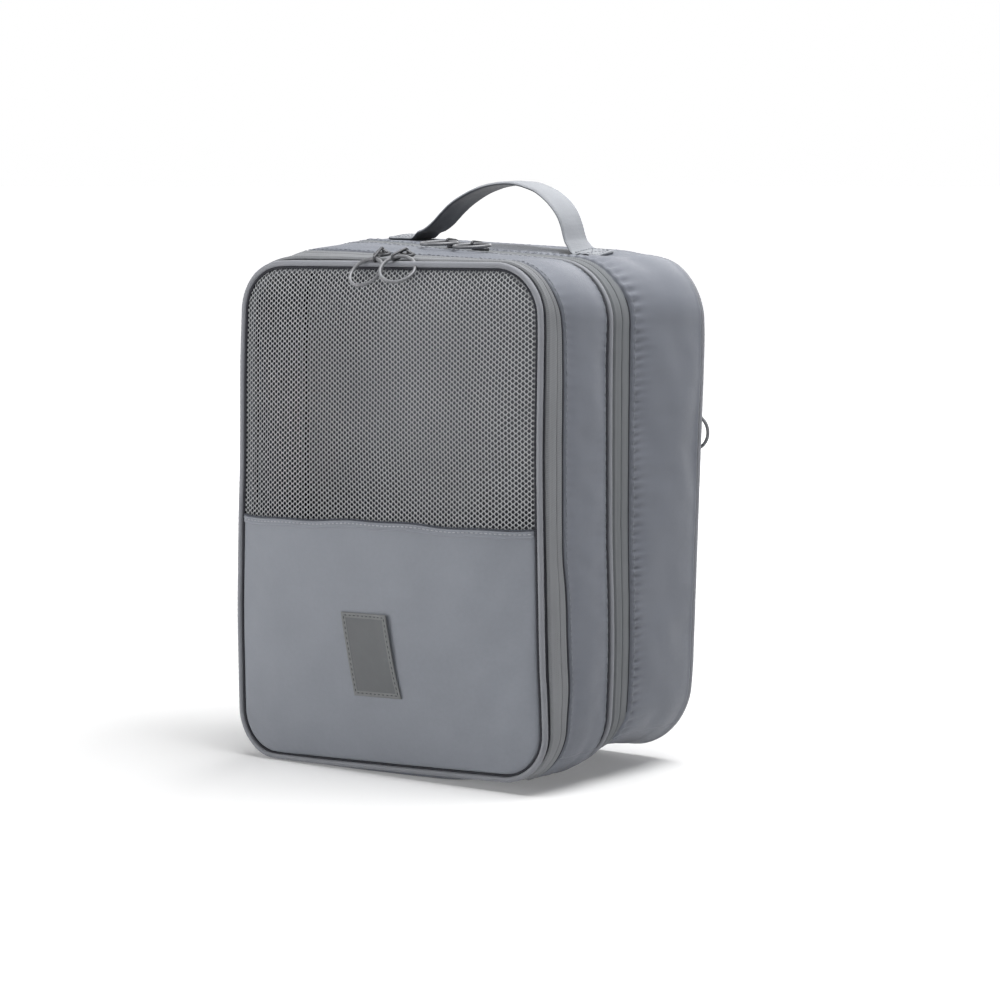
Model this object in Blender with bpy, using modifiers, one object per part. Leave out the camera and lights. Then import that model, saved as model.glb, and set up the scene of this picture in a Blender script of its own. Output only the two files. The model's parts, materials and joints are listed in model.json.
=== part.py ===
"""Two-compartment travel shoe bag: fabric shells, two wrap-round zips, net window, strap handle.

Frame: metres, +Z up, X across the bag's width, -Y the front with the net window, +Y the back.
The origin is the middle of the base, on the surface that the bag stands on.
"""

import math

import bmesh
import bpy
from mathutils import Matrix, Vector

MM = 0.001

# ---- driving dimensions, in millimetres ------------------------------------------------------
WIDTH = 220.0            # across the bag
DEPTH = 135.0            # front piping to back piping
HEIGHT = 300.0           # base to top, without the handle
CORNER_R = 30.0          # rounded corners of the bag seen from the front
CORNER_STEPS = 6         # facets in each rounded corner
CLOTH = 1.2              # gusset and base cloth with its lining
SPLIT_Z = 31.0           # where the zip strips end and the base strip starts
GAP = 0.4                # clearance between neighbouring pieces

# stations along Y, front to back
FRONT_PIPING_Y = -65.3
LID_TAPE = (-62.9, -60.2)
FRONT_TAPE = (-59.8, -54.6)
FRONT_GUSSET = (-54.2, -18.2)
MIDDLE_PIPING_Y = -16.0
MIDDLE_FRONT_TAPE = (-13.8, -6.2)
MIDDLE_REAR_TAPE = (-5.8, 1.4)
REAR_GUSSET = (1.8, 62.8)
BACK_PIPING_Y = 65.3
BASE_SEAM_Y = -16.0

TAPE_T = 0.9
COIL_W, COIL_T = 2.4, 1.3
PIPING_R = 1.9
MIDDLE_PIPING_R = 1.75
BINDING_R = 1.2

# front lid outline, a little smaller than the gusset outline
LID_INSET = 3.5
LID_BOTTOM_Z = 2.5
FRONT_ZIP_INSET = 2.0    # the front zip lies between the gusset outline and the lid outline
PANEL_T = 1.0
HEM_Z = 145.0            # top edge of the lower cloth panel
HEM_H = 8.0

PATCH_W, PATCH_H, PATCH_T = 34.0, 49.0, 0.8
PATCH_X, PATCH_Z, PATCH_LEAN = -9.3, 70.3, 11.0

# carrying strap
STRAP_W, STRAP_T = 25.0, 2.0
STRAP_Y = 34.0
STRAP_FOOT_X = 57.0      # where the arch leaves the top
STRAP_RISE = 37.0
STRAP_TAB = 24.0
STRAP_AXIS = 1.4         # height of the rocking axis above the top
STRAP_LEG_START = 12.0   # the arch's legs start here, so that its wide feet clear the top when it rocks
STRAP_UPRIGHT = 15.0     # height of the upright that the leg is sewn to

# zip sliders and their ring pulls
SLIDER_L, SLIDER_W, SLIDER_T = 10.5, 7.4, 1.6
SLIDER_LIFT = 0.4
BRIDGE_R, BRIDGE_HALF, BRIDGE_LIFT = 0.8, 3.6, 4.9   # lift of the wire's centre above the tape
LINK_R, LINK_BEND = 0.6, 2.05
FRONT_REACH, MIDDLE_REACH, POCKET_REACH = 9.0, 5.0, 9.0   # from the bridge wire to the ring wire
RING_R, RING_WIRE = 10.5, 1.0
FRONT_SLIDERS_X = (-13.0, 4.0)
MIDDLE_SLIDERS_X = (-4.0, 14.0)
FRONT_SWINGS, MIDDLE_SWINGS = (-8.0, 30.0), (0.0, 32.0)
FRONT_LINK_DIP, FRONT_RING_DIP = 1.0, 50.0
MIDDLE_LINK_DIP, MIDDLE_RING_DIP = 1.0, 8.0

# zip pocket in the back panel
POCKET_Z = 213.0
POCKET_HALF = 103.0
POCKET_SLIDER_X = 96.0
POCKET_SWING = 22.0
POCKET_TAPE_H = 3.4


def srgb(r, g, b):
    def one(v):
        v /= 255.0
        return v / 12.92 if v <= 0.04045 else ((v + 0.055) / 1.055) ** 2.4

    return (one(r), one(g), one(b), 1.0)


SLATE = srgb(124, 129, 135)
SLATE_DARK = srgb(108, 112, 119)
TAPE_GREY = srgb(110, 113, 117)
PIPING_GREY = srgb(99, 100, 106)
NET_GREY = srgb(150, 153, 156)
STRAP_GREY = srgb(150, 154, 158)
PATCH_GREY = srgb(104, 105, 109)
METAL_GREY = srgb(122, 125, 130)
LINING_GREY = srgb(92, 95, 101)

for old in list(bpy.data.objects):
    bpy.data.objects.remove(old, do_unlink=True)

bag = bpy.data.collections.new("shoe_bag")
cutters = bpy.data.collections.new("cutters")
bpy.context.scene.collection.children.link(bag)
bpy.context.scene.collection.children.link(cutters)


# ---- helpers ---------------------------------------------------------------------------------
def finish(obj, colour, roughness=0.8, metallic=0.0):
    """The piece's own material, and smooth faces with sharp folds."""
    mat = bpy.data.materials.new(obj.name + "_material")
    mat.use_nodes = True
    shader = mat.node_tree.nodes["Principled BSDF"]
    shader.inputs["Base Color"].default_value = colour
    shader.inputs["Roughness"].default_value = roughness
    shader.inputs["Metallic"].default_value = metallic
    obj.data.materials.clear()
    obj.data.materials.append(mat)
    if obj.type == "MESH":
        obj.data.shade_smooth()
        obj.data.set_sharp_from_angle(angle=math.radians(35))
    return obj


def add(name, data, collection=bag):
    obj = bpy.data.objects.new(name, data)
    collection.objects.link(obj)
    return obj


def corner(cx, cz, r, a0, a1, steps=CORNER_STEPS):
    return [
        (cx + r * math.cos(math.radians(a)), cz + r * math.sin(math.radians(a)))
        for a in (a0 + (a1 - a0) * k / steps for k in range(steps + 1))
    ]


def loop_outline(inset, bottom=None, r=None):
    """Closed rounded rectangle (x, z), clockwise seen from the front, in millimetres."""
    half, top = WIDTH / 2 - inset, HEIGHT - inset
    low = inset if bottom is None else bottom
    r = max(CORNER_R - inset, 4.0) if r is None else r
    return (
        corner(-half + r, top - r, r, 180, 90)
        + corner(half - r, top - r, r, 90, 0)
        + corner(half - r, low + r, r, 0, -90)
        + corner(-half + r, low + r, r, -90, -180)
    )


def arch_outline(inset, low=SPLIT_Z):
    """Open path up the left side, over the top and down the right side."""
    half, top, r = WIDTH / 2 - inset, HEIGHT - inset, CORNER_R - inset
    return (
        [(-half, low)]
        + corner(-half + r, top - r, r, 180, 90)
        + corner(half - r, top - r, r, 90, 0)
        + [(half, low)]
    )


def trough_outline(inset, high=SPLIT_Z - GAP):
    """Open path down the left corner, along the base and up the right corner."""
    half, r = WIDTH / 2 - inset, CORNER_R - inset
    return (
        [(-half, high)]
        + corner(-half + r, inset + r, r, 180, 270)
        + corner(half - r, inset + r, r, 270, 360)
        + [(half, high)]
    )


def strip(name, path, y0, y1, thickness, colour, outward):
    """A band of cloth: an open path in X and Z drawn out along Y, thickened inwards."""
    bm = bmesh.new()
    verts = [bm.verts.new((x * MM, y0 * MM, z * MM)) for x, z in path]
    edges = [bm.edges.new(pair) for pair in zip(verts[:-1], verts[1:])]
    drawn = bmesh.ops.extrude_edge_only(bm, edges=edges)
    bmesh.ops.translate(
        bm,
        vec=(0, (y1 - y0) * MM, 0),
        verts=[g for g in drawn["geom"] if isinstance(g, bmesh.types.BMVert)],
    )
    bm.normal_update()
    level = max(bm.faces, key=lambda face: abs(face.normal.z))
    if level.normal.z * outward < 0:
        bmesh.ops.reverse_faces(bm, faces=bm.faces[:])
    mesh = bpy.data.meshes.new(name)
    bm.to_mesh(mesh)
    bm.free()
    obj = add(name, mesh)
    solid = obj.modifiers.new("thickness", "SOLIDIFY")
    solid.thickness = thickness * MM
    solid.offset = -1
    solid.use_even_offset = True
    return finish(obj, colour)


def plate(name, outlines, y0, y1, colour, roughness=0.8):
    """A flat panel in X and Z: closed outlines filled and drawn out along Y."""
    curve = bpy.data.curves.new(name, "CURVE")
    curve.dimensions = "2D"
    curve.fill_mode = "BOTH"
    curve.extrude = (y1 - y0) / 2 * MM
    for outline in outlines:
        spline = curve.splines.new("POLY")
        spline.points.add(len(outline) - 1)
        for point, (x, z) in zip(spline.points, outline):
            point.co = (x * MM, z * MM, 0, 1)
        spline.use_cyclic_u = True
    obj = add(name, curve)
    obj.location = (0, (y0 + y1) / 2 * MM, 0)
    obj.rotation_euler = (math.radians(90), 0, 0)
    return finish(obj, colour, roughness)


def tube(name, points, radius, cyclic, colour, sides=2, roughness=0.7, metallic=0.0, collection=bag):
    """A round cord or wire along points given in millimetres."""
    curve = bpy.data.curves.new(name, "CURVE")
    curve.dimensions = "3D"
    curve.bevel_depth = radius * MM
    curve.bevel_resolution = sides
    curve.use_fill_caps = not cyclic
    spline = curve.splines.new("POLY")
    spline.points.add(len(points) - 1)
    for point, co in zip(spline.points, points):
        point.co = (*(Vector(co) * MM), 1)
    spline.use_cyclic_u = cyclic
    obj = add(name, curve, collection)
    return finish(obj, colour, roughness, metallic)


def at_y(outline, y):
    return [(x, y, z) for x, z in outline]


def block(name, size, centre, colour, bevel=0.0, turn=None, roughness=0.8):
    """A flat rectangular piece with eased edges, size and centre in millimetres."""
    bm = bmesh.new()
    bmesh.ops.create_cube(bm, size=1.0)
    bmesh.ops.scale(bm, vec=Vector(size) * MM, verts=bm.verts)
    mesh = bpy.data.meshes.new(name)
    bm.to_mesh(mesh)
    bm.free()
    obj = add(name, mesh)
    obj.location = Vector(centre) * MM
    if turn:
        obj.rotation_euler = turn
    if bevel:
        rounding = obj.modifiers.new("eased_edges", "BEVEL")
        rounding.width = bevel * MM
        rounding.segments = 1
    return finish(obj, colour, roughness)


def mesh_of(obj):
    """The evaluated shape of a curve as a welded mesh object, in place of the curve."""
    graph = bpy.context.evaluated_depsgraph_get()
    mesh = bpy.data.meshes.new_from_object(obj.evaluated_get(graph))
    bm = bmesh.new()
    bm.from_mesh(mesh)
    bmesh.ops.remove_doubles(bm, verts=bm.verts, dist=1e-6)
    bmesh.ops.recalc_face_normals(bm, faces=bm.faces)
    bm.to_mesh(mesh)
    bm.free()
    made = bpy.data.objects.new(obj.name + "_cut", mesh)
    made.matrix_world = obj.matrix_world
    cutters.objects.link(made)
    made.hide_render = True
    made.display_type = "WIRE"
    bpy.data.objects.remove(obj, do_unlink=True)
    return made


def carried_by(empty, *objs):
    bpy.context.view_layer.update()
    for obj in objs:
        obj.parent = empty
        obj.matrix_parent_inverse = empty.matrix_world.inverted()


def axis_point(name, x, y, z):
    empty = bpy.data.objects.new(name, None)
    empty.empty_display_size = 0.02
    empty.location = (x * MM, y * MM, z * MM)
    bag.objects.link(empty)
    return empty


# ---- rear compartment: it stands on the table and carries everything else -----------------------
rear_gusset = strip("rear_gusset", arch_outline(0), *REAR_GUSSET, CLOTH, SLATE_DARK, 1)
rear_base = strip("rear_base", trough_outline(0), BASE_SEAM_Y + GAP / 2, REAR_GUSSET[1], CLOTH, SLATE_DARK, -1)
front_base = strip("front_base", trough_outline(0), LID_TAPE[0], BASE_SEAM_Y - GAP / 2, CLOTH, SLATE_DARK, -1)
rear_tape = strip("middle_zip_rear_tape", arch_outline(0), *MIDDLE_REAR_TAPE, TAPE_T, TAPE_GREY, 1)
rear_coil = strip(
    "middle_zip_rear_coil",
    arch_outline(TAPE_T + GAP),
    MIDDLE_REAR_TAPE[0],
    MIDDLE_REAR_TAPE[0] + COIL_W,
    COIL_T,
    TAPE_GREY,
    1,
)
back_piping = tube(
    "back_piping", at_y(loop_outline(2.2), BACK_PIPING_Y), PIPING_R, True, PIPING_GREY
)
back_binding = tube(
    "back_seam_binding", at_y(loop_outline(5.4), BACK_PIPING_Y - 3.6), BINDING_R, True, LINING_GREY, 1
)

slot_low, slot_high = POCKET_Z - POCKET_TAPE_H - 0.6, POCKET_Z + POCKET_TAPE_H + 0.6
slot = [
    (-POCKET_HALF - 0.4, slot_low),
    (-POCKET_HALF - 0.4, slot_high),
    (POCKET_HALF + 0.4, slot_high),
    (POCKET_HALF + 0.4, slot_low),
]
back_panel = plate(
    "back_panel",
    [loop_outline(4.6), slot],
    BACK_PIPING_Y - PANEL_T / 2,
    BACK_PIPING_Y + PANEL_T / 2,
    SLATE,
)
pocket_tapes = [
    block(
        name,
        (2 * POCKET_HALF, 0.8, POCKET_TAPE_H - 0.2),
        (0, BACK_PIPING_Y, POCKET_Z + side * (POCKET_TAPE_H / 2 + 0.1)),
        TAPE_GREY,
    )
    for name, side in (("pocket_zip_upper_tape", 1), ("pocket_zip_lower_tape", -1))
]
pocket_coil = block(
    "pocket_zip_coil", (2 * POCKET_HALF - 4, 1.0, 2.6), (0, BACK_PIPING_Y - 1.2, POCKET_Z), TAPE_GREY
)
pocket_lining = plate(
    "pocket_lining",
    [[(-102.6, 92), (-102.6, 227), (102.6, 227), (102.6, 92)]],
    BACK_PIPING_Y - 3.4,
    BACK_PIPING_Y - 2.6,
    LINING_GREY,
)

# sewn-down ends of the carrying strap: a flat tab and a short upright that the arch is sewn to
strap_tabs = [
    strip(
        name,
        [
            (side * (STRAP_FOOT_X + STRAP_TAB), HEIGHT + 0.5),
            (side * STRAP_FOOT_X, HEIGHT + 0.5),
            (side * STRAP_FOOT_X, HEIGHT + STRAP_UPRIGHT),
        ],
        STRAP_Y - STRAP_W / 2,
        STRAP_Y + STRAP_W / 2,
        STRAP_T - 0.2,
        STRAP_GREY,
        -1,
    )
    for name, side in (("handle_left_tab", -1), ("handle_right_tab", 1))
]

# ---- carrying strap: an arch of webbing that rocks on its two feet ----------------------------
handle_axis = axis_point("handle_axis", 0, STRAP_Y, HEIGHT + STRAP_AXIS)


def strap_path(steps=20):
    """Lower face of the arch: steep legs that run into a broad crown, ending clear of the bag's top."""
    points = []
    for k in range(steps + 1):
        a = math.pi * (1 - k / steps)
        x = (STRAP_FOOT_X - STRAP_T - GAP) * math.copysign(abs(math.cos(a)) ** 0.75, math.cos(a))
        z = HEIGHT + 0.6 + (STRAP_RISE - STRAP_T) * math.sin(a) ** 0.9
        if z > HEIGHT + STRAP_LEG_START:
            points.append((x, z))
    leg = STRAP_FOOT_X - STRAP_T - GAP
    return [(-leg, HEIGHT + STRAP_LEG_START)] + points + [(leg, HEIGHT + STRAP_LEG_START)]


handle_strap = strip(
    "handle_strap", strap_path(), STRAP_Y - STRAP_W / 2, STRAP_Y + STRAP_W / 2, STRAP_T, STRAP_GREY, -1
)
carried_by(handle_axis, handle_strap)

# ---- front compartment: leans forward on the fabric at the front bottom edge ------------------
hinge_y, hinge_z = FRONT_PIPING_Y, LID_BOTTOM_Z
compartment_axis = axis_point("compartment_axis", 0, hinge_y, hinge_z)
front_gusset = strip("front_gusset", arch_outline(0), *FRONT_GUSSET, CLOTH, SLATE_DARK, 1)
middle_piping = tube(
    "middle_piping", at_y(arch_outline(1.2), MIDDLE_PIPING_Y), MIDDLE_PIPING_R, False, PIPING_GREY
)
middle_binding = tube(
    "middle_seam_binding", at_y(arch_outline(4.4), FRONT_GUSSET[1] - 2.4), BINDING_R, False, LINING_GREY, 1
)
divider = plate(
    "divider_panel",
    [loop_outline(4.0, bottom=2.6)],
    MIDDLE_PIPING_Y - 0.4,
    MIDDLE_PIPING_Y + 0.4,
    LINING_GREY,
)
middle_front_tape = strip(
    "middle_zip_front_tape", arch_outline(0), *MIDDLE_FRONT_TAPE, TAPE_T, TAPE_GREY, 1
)
middle_front_coil = strip(
    "middle_zip_front_coil",
    arch_outline(TAPE_T + GAP),
    MIDDLE_FRONT_TAPE[1] - COIL_W,
    MIDDLE_FRONT_TAPE[1],
    COIL_T,
    TAPE_GREY,
    1,
)
front_rear_tape = strip("front_zip_rear_tape", arch_outline(FRONT_ZIP_INSET), *FRONT_TAPE, TAPE_T, TAPE_GREY, 1)
front_rear_coil = strip(
    "front_zip_rear_coil",
    arch_outline(FRONT_ZIP_INSET + TAPE_T + GAP),
    FRONT_TAPE[0],
    FRONT_TAPE[0] + COIL_W,
    COIL_T,
    TAPE_GREY,
    1,
)
carried_by(
    compartment_axis,
    front_gusset,
    middle_piping,
    middle_binding,
    divider,
    middle_front_tape,
    middle_front_coil,
    front_rear_tape,
    front_rear_coil,
)

# ---- front lid: net window over a cloth panel, opens down and forward --------------------------
lid_axis = axis_point("lid_axis", 0, hinge_y, hinge_z)
lid_outline = loop_outline(LID_INSET, bottom=LID_BOTTOM_Z, r=CORNER_R - LID_INSET)
front_piping = tube("front_piping", at_y(lid_outline, FRONT_PIPING_Y), PIPING_R, True, PIPING_GREY)
panel_inset = LID_INSET + PIPING_R + GAP
panel_half = WIDTH / 2 - panel_inset
panel_r = CORNER_R - panel_inset
panel_top, panel_low = HEIGHT - panel_inset, LID_BOTTOM_Z + PIPING_R + GAP
panel_y = (FRONT_PIPING_Y - PANEL_T / 2, FRONT_PIPING_Y + PANEL_T / 2)
lower_panel = plate(
    "lower_front_panel",
    [
        [(-panel_half, HEM_Z - GAP / 2), (panel_half, HEM_Z - GAP / 2)]
        + corner(panel_half - panel_r, panel_low + panel_r, panel_r, 0, -90)
        + corner(-panel_half + panel_r, panel_low + panel_r, panel_r, -90, -180)
    ],
    *panel_y,
    SLATE,
)
net_window = plate(
    "net_window",
    [
        corner(-panel_half + panel_r, panel_top - panel_r, panel_r, 180, 90)
        + corner(panel_half - panel_r, panel_top - panel_r, panel_r, 90, 0)
        + [(panel_half, HEM_Z + GAP / 2), (-panel_half, HEM_Z + GAP / 2)]
    ],
    *panel_y,
    NET_GREY,
)
window_hem = block(
    "window_hem",
    (2 * panel_half - 0.6, 0.7, HEM_H),
    (0, FRONT_PIPING_Y - PANEL_T / 2 - 0.4 - 0.35, HEM_Z - HEM_H / 2 + 0.5),
    SLATE,
)
lid_tape = strip("front_zip_lid_tape", arch_outline(FRONT_ZIP_INSET), *LID_TAPE, TAPE_T, TAPE_GREY, 1)
lid_coil = strip(
    "front_zip_lid_coil",
    arch_outline(FRONT_ZIP_INSET + TAPE_T + GAP),
    LID_TAPE[1] - COIL_W,
    LID_TAPE[1],
    COIL_T,
    TAPE_GREY,
    1,
)
lid_binding = tube(
    "front_seam_binding",
    at_y(loop_outline(LID_INSET + 5.0, bottom=LID_BOTTOM_Z + 5.0), FRONT_PIPING_Y + 2.6),
    BINDING_R,
    True,
    LINING_GREY,
    1,
)
label_patch = block(
    "label_patch",
    (PATCH_W, PATCH_T, PATCH_H),
    (PATCH_X, FRONT_PIPING_Y - PANEL_T / 2 - 0.4 - PATCH_T / 2, PATCH_Z),
    PATCH_GREY,
    turn=(0, math.radians(-PATCH_LEAN), 0),
    roughness=0.5,
)
carried_by(
    lid_axis,
    front_piping,
    lower_panel,
    net_window,
    window_hem,
    lid_tape,
    lid_coil,
    lid_binding,
    label_patch,
)
carried_by(compartment_axis, lid_axis)


# ---- zip sliders with their ring pulls --------------------------------------------------------
def slider(name, place):
    """Slider plate with its bridge; the zip runs along local X and local Z points off the tape."""
    body = block(name, (SLIDER_L, SLIDER_W, SLIDER_T), (0, 0, SLIDER_LIFT + SLIDER_T / 2), METAL_GREY, roughness=0.35)
    body.data.transform(Matrix.Translation((0, 0, (SLIDER_LIFT + SLIDER_T / 2) * MM)))
    rounding = body.modifiers.new("rounded", "BEVEL")
    rounding.width = 0.5 * MM
    rounding.segments = 1
    low = SLIDER_LIFT + SLIDER_T * 0.5
    arch = [(-BRIDGE_HALF, 0, low), (-BRIDGE_HALF, 0, BRIDGE_LIFT - 1.0), (-BRIDGE_HALF + 0.9, 0, BRIDGE_LIFT)]
    arch += [(-x, y, z) for x, y, z in reversed(arch)]
    bridge = mesh_of(tube(name + "_bridge", arch, BRIDGE_R, False, METAL_GREY, 1, collection=cutters))
    join = body.modifiers.new("bridge", "BOOLEAN")
    join.operation = "UNION"
    join.object = bridge
    body.matrix_world = place
    bridge.matrix_world = place
    body.data.materials[0].node_tree.nodes["Principled BSDF"].inputs["Metallic"].default_value = 0.9
    return body


def pull(name, place, reach, link_dip, ring_dip, swing):
    """Link and ring hanging from a bridge; the origin is on the bridge wire and local -Y points down the pull.

    The ring lies to one side of its link by the angle swing, measured in the ring's own plane.
    """
    d1 = Vector((0, -math.cos(math.radians(link_dip)), -math.sin(math.radians(link_dip))))
    d2 = Vector((0, -math.cos(math.radians(ring_dip)), -math.sin(math.radians(ring_dip))))
    near = d1 * reach
    side = Vector((0, -d1.z, d1.y))
    points = []
    for centre, start in ((near, -90), (Vector(), 90)):
        for k in range(6):
            a = math.radians(start + 180 * k / 5)
            points.append(centre + d1 * math.cos(a) * LINK_BEND + side * math.sin(a) * LINK_BEND)
    link = tube(name + "_link", points, LINK_R, True, METAL_GREY, 1, 0.35, 0.9)
    link.matrix_world = place
    bpy.ops.mesh.primitive_torus_add(
        major_radius=RING_R * MM, minor_radius=RING_WIRE * MM, major_segments=22, minor_segments=6
    )
    ring = bpy.context.object
    ring.name = name + "_ring"
    for owner in list(ring.users_collection):
        owner.objects.unlink(ring)
    bag.objects.link(ring)
    # the flat ring is tipped about X to run along d2, and moved until the link holds its wire
    swing = math.radians(swing)
    centre = near + (d2 * math.cos(swing) + Vector((1, 0, 0)) * math.sin(swing)) * RING_R
    ring.data.transform(
        Matrix.Translation(centre * MM) @ Matrix.Rotation(math.radians(ring_dip), 4, "X")
    )
    ring.matrix_world = place
    finish(ring, METAL_GREY, 0.35, 0.9)
    return link, ring


def bridge_place(place):
    return place @ Matrix.Translation((0, 0, BRIDGE_LIFT * MM))


for side, x, swing in zip(("left", "right"), FRONT_SLIDERS_X, FRONT_SWINGS):
    zip_y = (LID_TAPE[1] + FRONT_TAPE[0]) / 2
    place = Matrix.Translation(Vector((x, zip_y, HEIGHT - FRONT_ZIP_INSET)) * MM)
    body = slider(f"front_slider_{side}", place)
    link, ring = pull(f"front_pull_{side}", bridge_place(place), FRONT_REACH, FRONT_LINK_DIP, FRONT_RING_DIP, swing)
    carried_by(body, link, ring)
    carried_by(lid_axis, body)

for side, x, swing in zip(("left", "right"), MIDDLE_SLIDERS_X, MIDDLE_SWINGS):
    zip_y = (MIDDLE_FRONT_TAPE[1] + MIDDLE_REAR_TAPE[0]) / 2
    place = Matrix.Translation(Vector((x, zip_y, HEIGHT)) * MM)
    body = slider(f"middle_slider_{side}", place)
    link, ring = pull(f"middle_pull_{side}", bridge_place(place), MIDDLE_REACH, MIDDLE_LINK_DIP, MIDDLE_RING_DIP, swing)
    carried_by(body, link, ring)
    carried_by(compartment_axis, body)

# the pocket slider lies on the back panel, with local Z pointing out of the back and local Y down
place = Matrix.Translation(Vector((POCKET_SLIDER_X, BACK_PIPING_Y + PANEL_T / 2, POCKET_Z)) * MM) @ Matrix.Rotation(
    math.radians(-90), 4, "X"
)
pocket_slider = slider("pocket_slider", place)
down = bridge_place(place) @ Matrix.Rotation(math.radians(180), 4, "Z")
link, ring = pull("pocket_pull", down, POCKET_REACH, 0.0, 0.0, -POCKET_SWING)
carried_by(pocket_slider, link, ring)
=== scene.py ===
import json
import math

import bmesh
import bpy
import numpy as np
from mathutils import Matrix, Vector

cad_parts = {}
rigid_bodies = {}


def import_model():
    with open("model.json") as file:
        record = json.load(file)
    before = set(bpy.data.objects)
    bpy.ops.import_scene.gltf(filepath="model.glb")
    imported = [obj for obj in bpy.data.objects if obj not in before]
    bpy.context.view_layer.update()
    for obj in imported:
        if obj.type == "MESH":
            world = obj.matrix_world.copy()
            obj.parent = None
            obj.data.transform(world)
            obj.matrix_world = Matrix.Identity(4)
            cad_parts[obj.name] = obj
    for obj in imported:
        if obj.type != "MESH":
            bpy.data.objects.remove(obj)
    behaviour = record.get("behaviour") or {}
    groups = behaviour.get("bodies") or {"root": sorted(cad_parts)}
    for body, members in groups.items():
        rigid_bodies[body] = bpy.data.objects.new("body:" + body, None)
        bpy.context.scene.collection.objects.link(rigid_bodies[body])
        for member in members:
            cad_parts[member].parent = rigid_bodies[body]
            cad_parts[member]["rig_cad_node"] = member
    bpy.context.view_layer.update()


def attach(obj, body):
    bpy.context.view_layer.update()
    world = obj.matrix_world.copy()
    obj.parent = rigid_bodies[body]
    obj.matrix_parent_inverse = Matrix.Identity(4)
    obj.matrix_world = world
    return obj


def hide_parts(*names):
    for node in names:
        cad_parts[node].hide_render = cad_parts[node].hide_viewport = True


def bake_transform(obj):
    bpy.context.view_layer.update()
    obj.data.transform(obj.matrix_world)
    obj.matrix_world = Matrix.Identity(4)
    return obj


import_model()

MM = 0.001
UV = "weave"
rng = np.random.default_rng(11)

# ---------------------------------------------------------------- the soft body
# All lengths in mm. Every cloth piece lies on one family of closed loops, one loop
# for each depth y: a rounded rectangle that is pulled out of square by its corners.
W2, H = 110.0, 300.0
Y_F, Y_M, Y_R = -69.5, -16.4, 68.5  # front, middle and back seam
RAD = np.array([30.2, 35.9, 39.3])
# corner moves (dx, dz) of the three seams: top right, bottom right, bottom left, top left
SET = np.array(
    [
        [(-5.5, -3.8), (0.4, 6.7), (-5.2, -1.5), (-4.8, -5.9)],
        [(0.5, -6.0), (-0.4, 4.5), (0.0, 0.0), (0.0, 6.3)],
        [(12.5, -2.7), (2.2, 4.9), (0.0, 0.0), (0.3, 4.5)],
    ]
)
FLOOR = 0.35  # lowest cloth

LID_TAPE = (-67.4, -61.55)
FRONT_TAPE = (-61.45, -58.0)
FRONT_GUSSET = (-57.0, -17.7)
MID_PIPE_Y = -13.4
MID_FRONT_TAPE = (-11.1, -4.55)
MID_REAR_TAPE = (-4.45, 2.5)
REAR_GUSSET = (4.1, 66.3)
PIPE_R, MID_PIPE_R = 1.75, 1.55

COUNTS = (64, 40, 192, 40, 128, 40, 192, 40, 64)
SEG = np.repeat(np.arange(9), COUNTS)
T = np.concatenate([np.arange(n) / n for n in COUNTS])
N = len(SEG)
START = np.concatenate([[0], np.cumsum(COUNTS)])


def rect_loop(r, inset=0.0):
    """x, z and the outward normal of a rounded rectangle, from the bottom centre towards +X."""
    hw, zb, zt = W2 - inset, inset, H - inset
    r = max(r - inset, 2.0)
    a, rise = hw - r, zt - zb - 2 * r
    straight = [SEG == k for k in (0, 2, 4, 6, 8)]
    x = np.select(straight, [a * T, hw + 0 * T, a - 2 * a * T, -hw + 0 * T, -a + a * T])
    z = np.select(
        straight,
        [zb + 0 * T, zb + r + rise * T, zt + 0 * T, zt - r - rise * T, zb + 0 * T],
    )
    nx = np.select([SEG == 2, SEG == 6], [1.0, -1.0], 0.0)
    nz = np.select([SEG == 4, (SEG == 0) | (SEG == 8)], [1.0, -1.0], 0.0)
    for k, cx, cz, a0 in (
        (1, a, zb + r, -90),
        (3, a, zt - r, 0),
        (5, -a, zt - r, 90),
        (7, -a, zb + r, 180),
    ):
        m = SEG == k
        ang = np.radians(a0 + 90 * T[m])
        nx[m], nz[m] = np.cos(ang), np.sin(ang)
        x[m], z[m] = cx + r * nx[m], cz + r * nz[m]
    return x, z, nx, nz


_x, _z, NX, NZ = rect_loop(33.0)
U = np.concatenate([[0], np.cumsum(np.hypot(np.diff(_x), np.diff(_z)))])  # length along the loop
TOP = np.clip(NZ, 0, 1)
SIDE = np.abs(NX)
LOW = np.clip(-NZ, 0, 1) ** 2


def shares(y):
    """How much of the front, middle and back seam's set a loop at depth y has."""
    if y <= Y_M:
        t = min(max((y - Y_F) / (Y_M - Y_F), 0), 1)
        w = 1 - (1 - t) ** 3.2
        return np.array([1 - w, w, 0]), np.array([1 - t, t, 0])
    t = min(max((y - Y_M) / (Y_R - Y_M), 0), 1)
    w = 0.5 * (t + t * t * (3 - 2 * t))
    return np.array([0, 1 - w, w]), np.array([0, 1 - t, t])


def warp(x, z, corners):
    u, v = (x / W2 + 1) / 2, z / H
    w = np.stack([u * v, u * (1 - v), (1 - u) * (1 - v), (1 - u) * v], -1)
    d = w @ corners
    return x + d[..., 0], z + d[..., 1]


def table(heights, moves, spread=9.0):
    """A move that changes softly with height."""
    at = np.arange(-30.0, 340.0)
    k = np.exp(-0.5 * (np.arange(-27, 28) / spread) ** 2)
    v_ = np.convolve(np.pad(np.interp(at, heights, moves), 27, "edge"), k / k.sum(), "valid")
    return lambda z: np.interp(z, at, v_)


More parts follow.
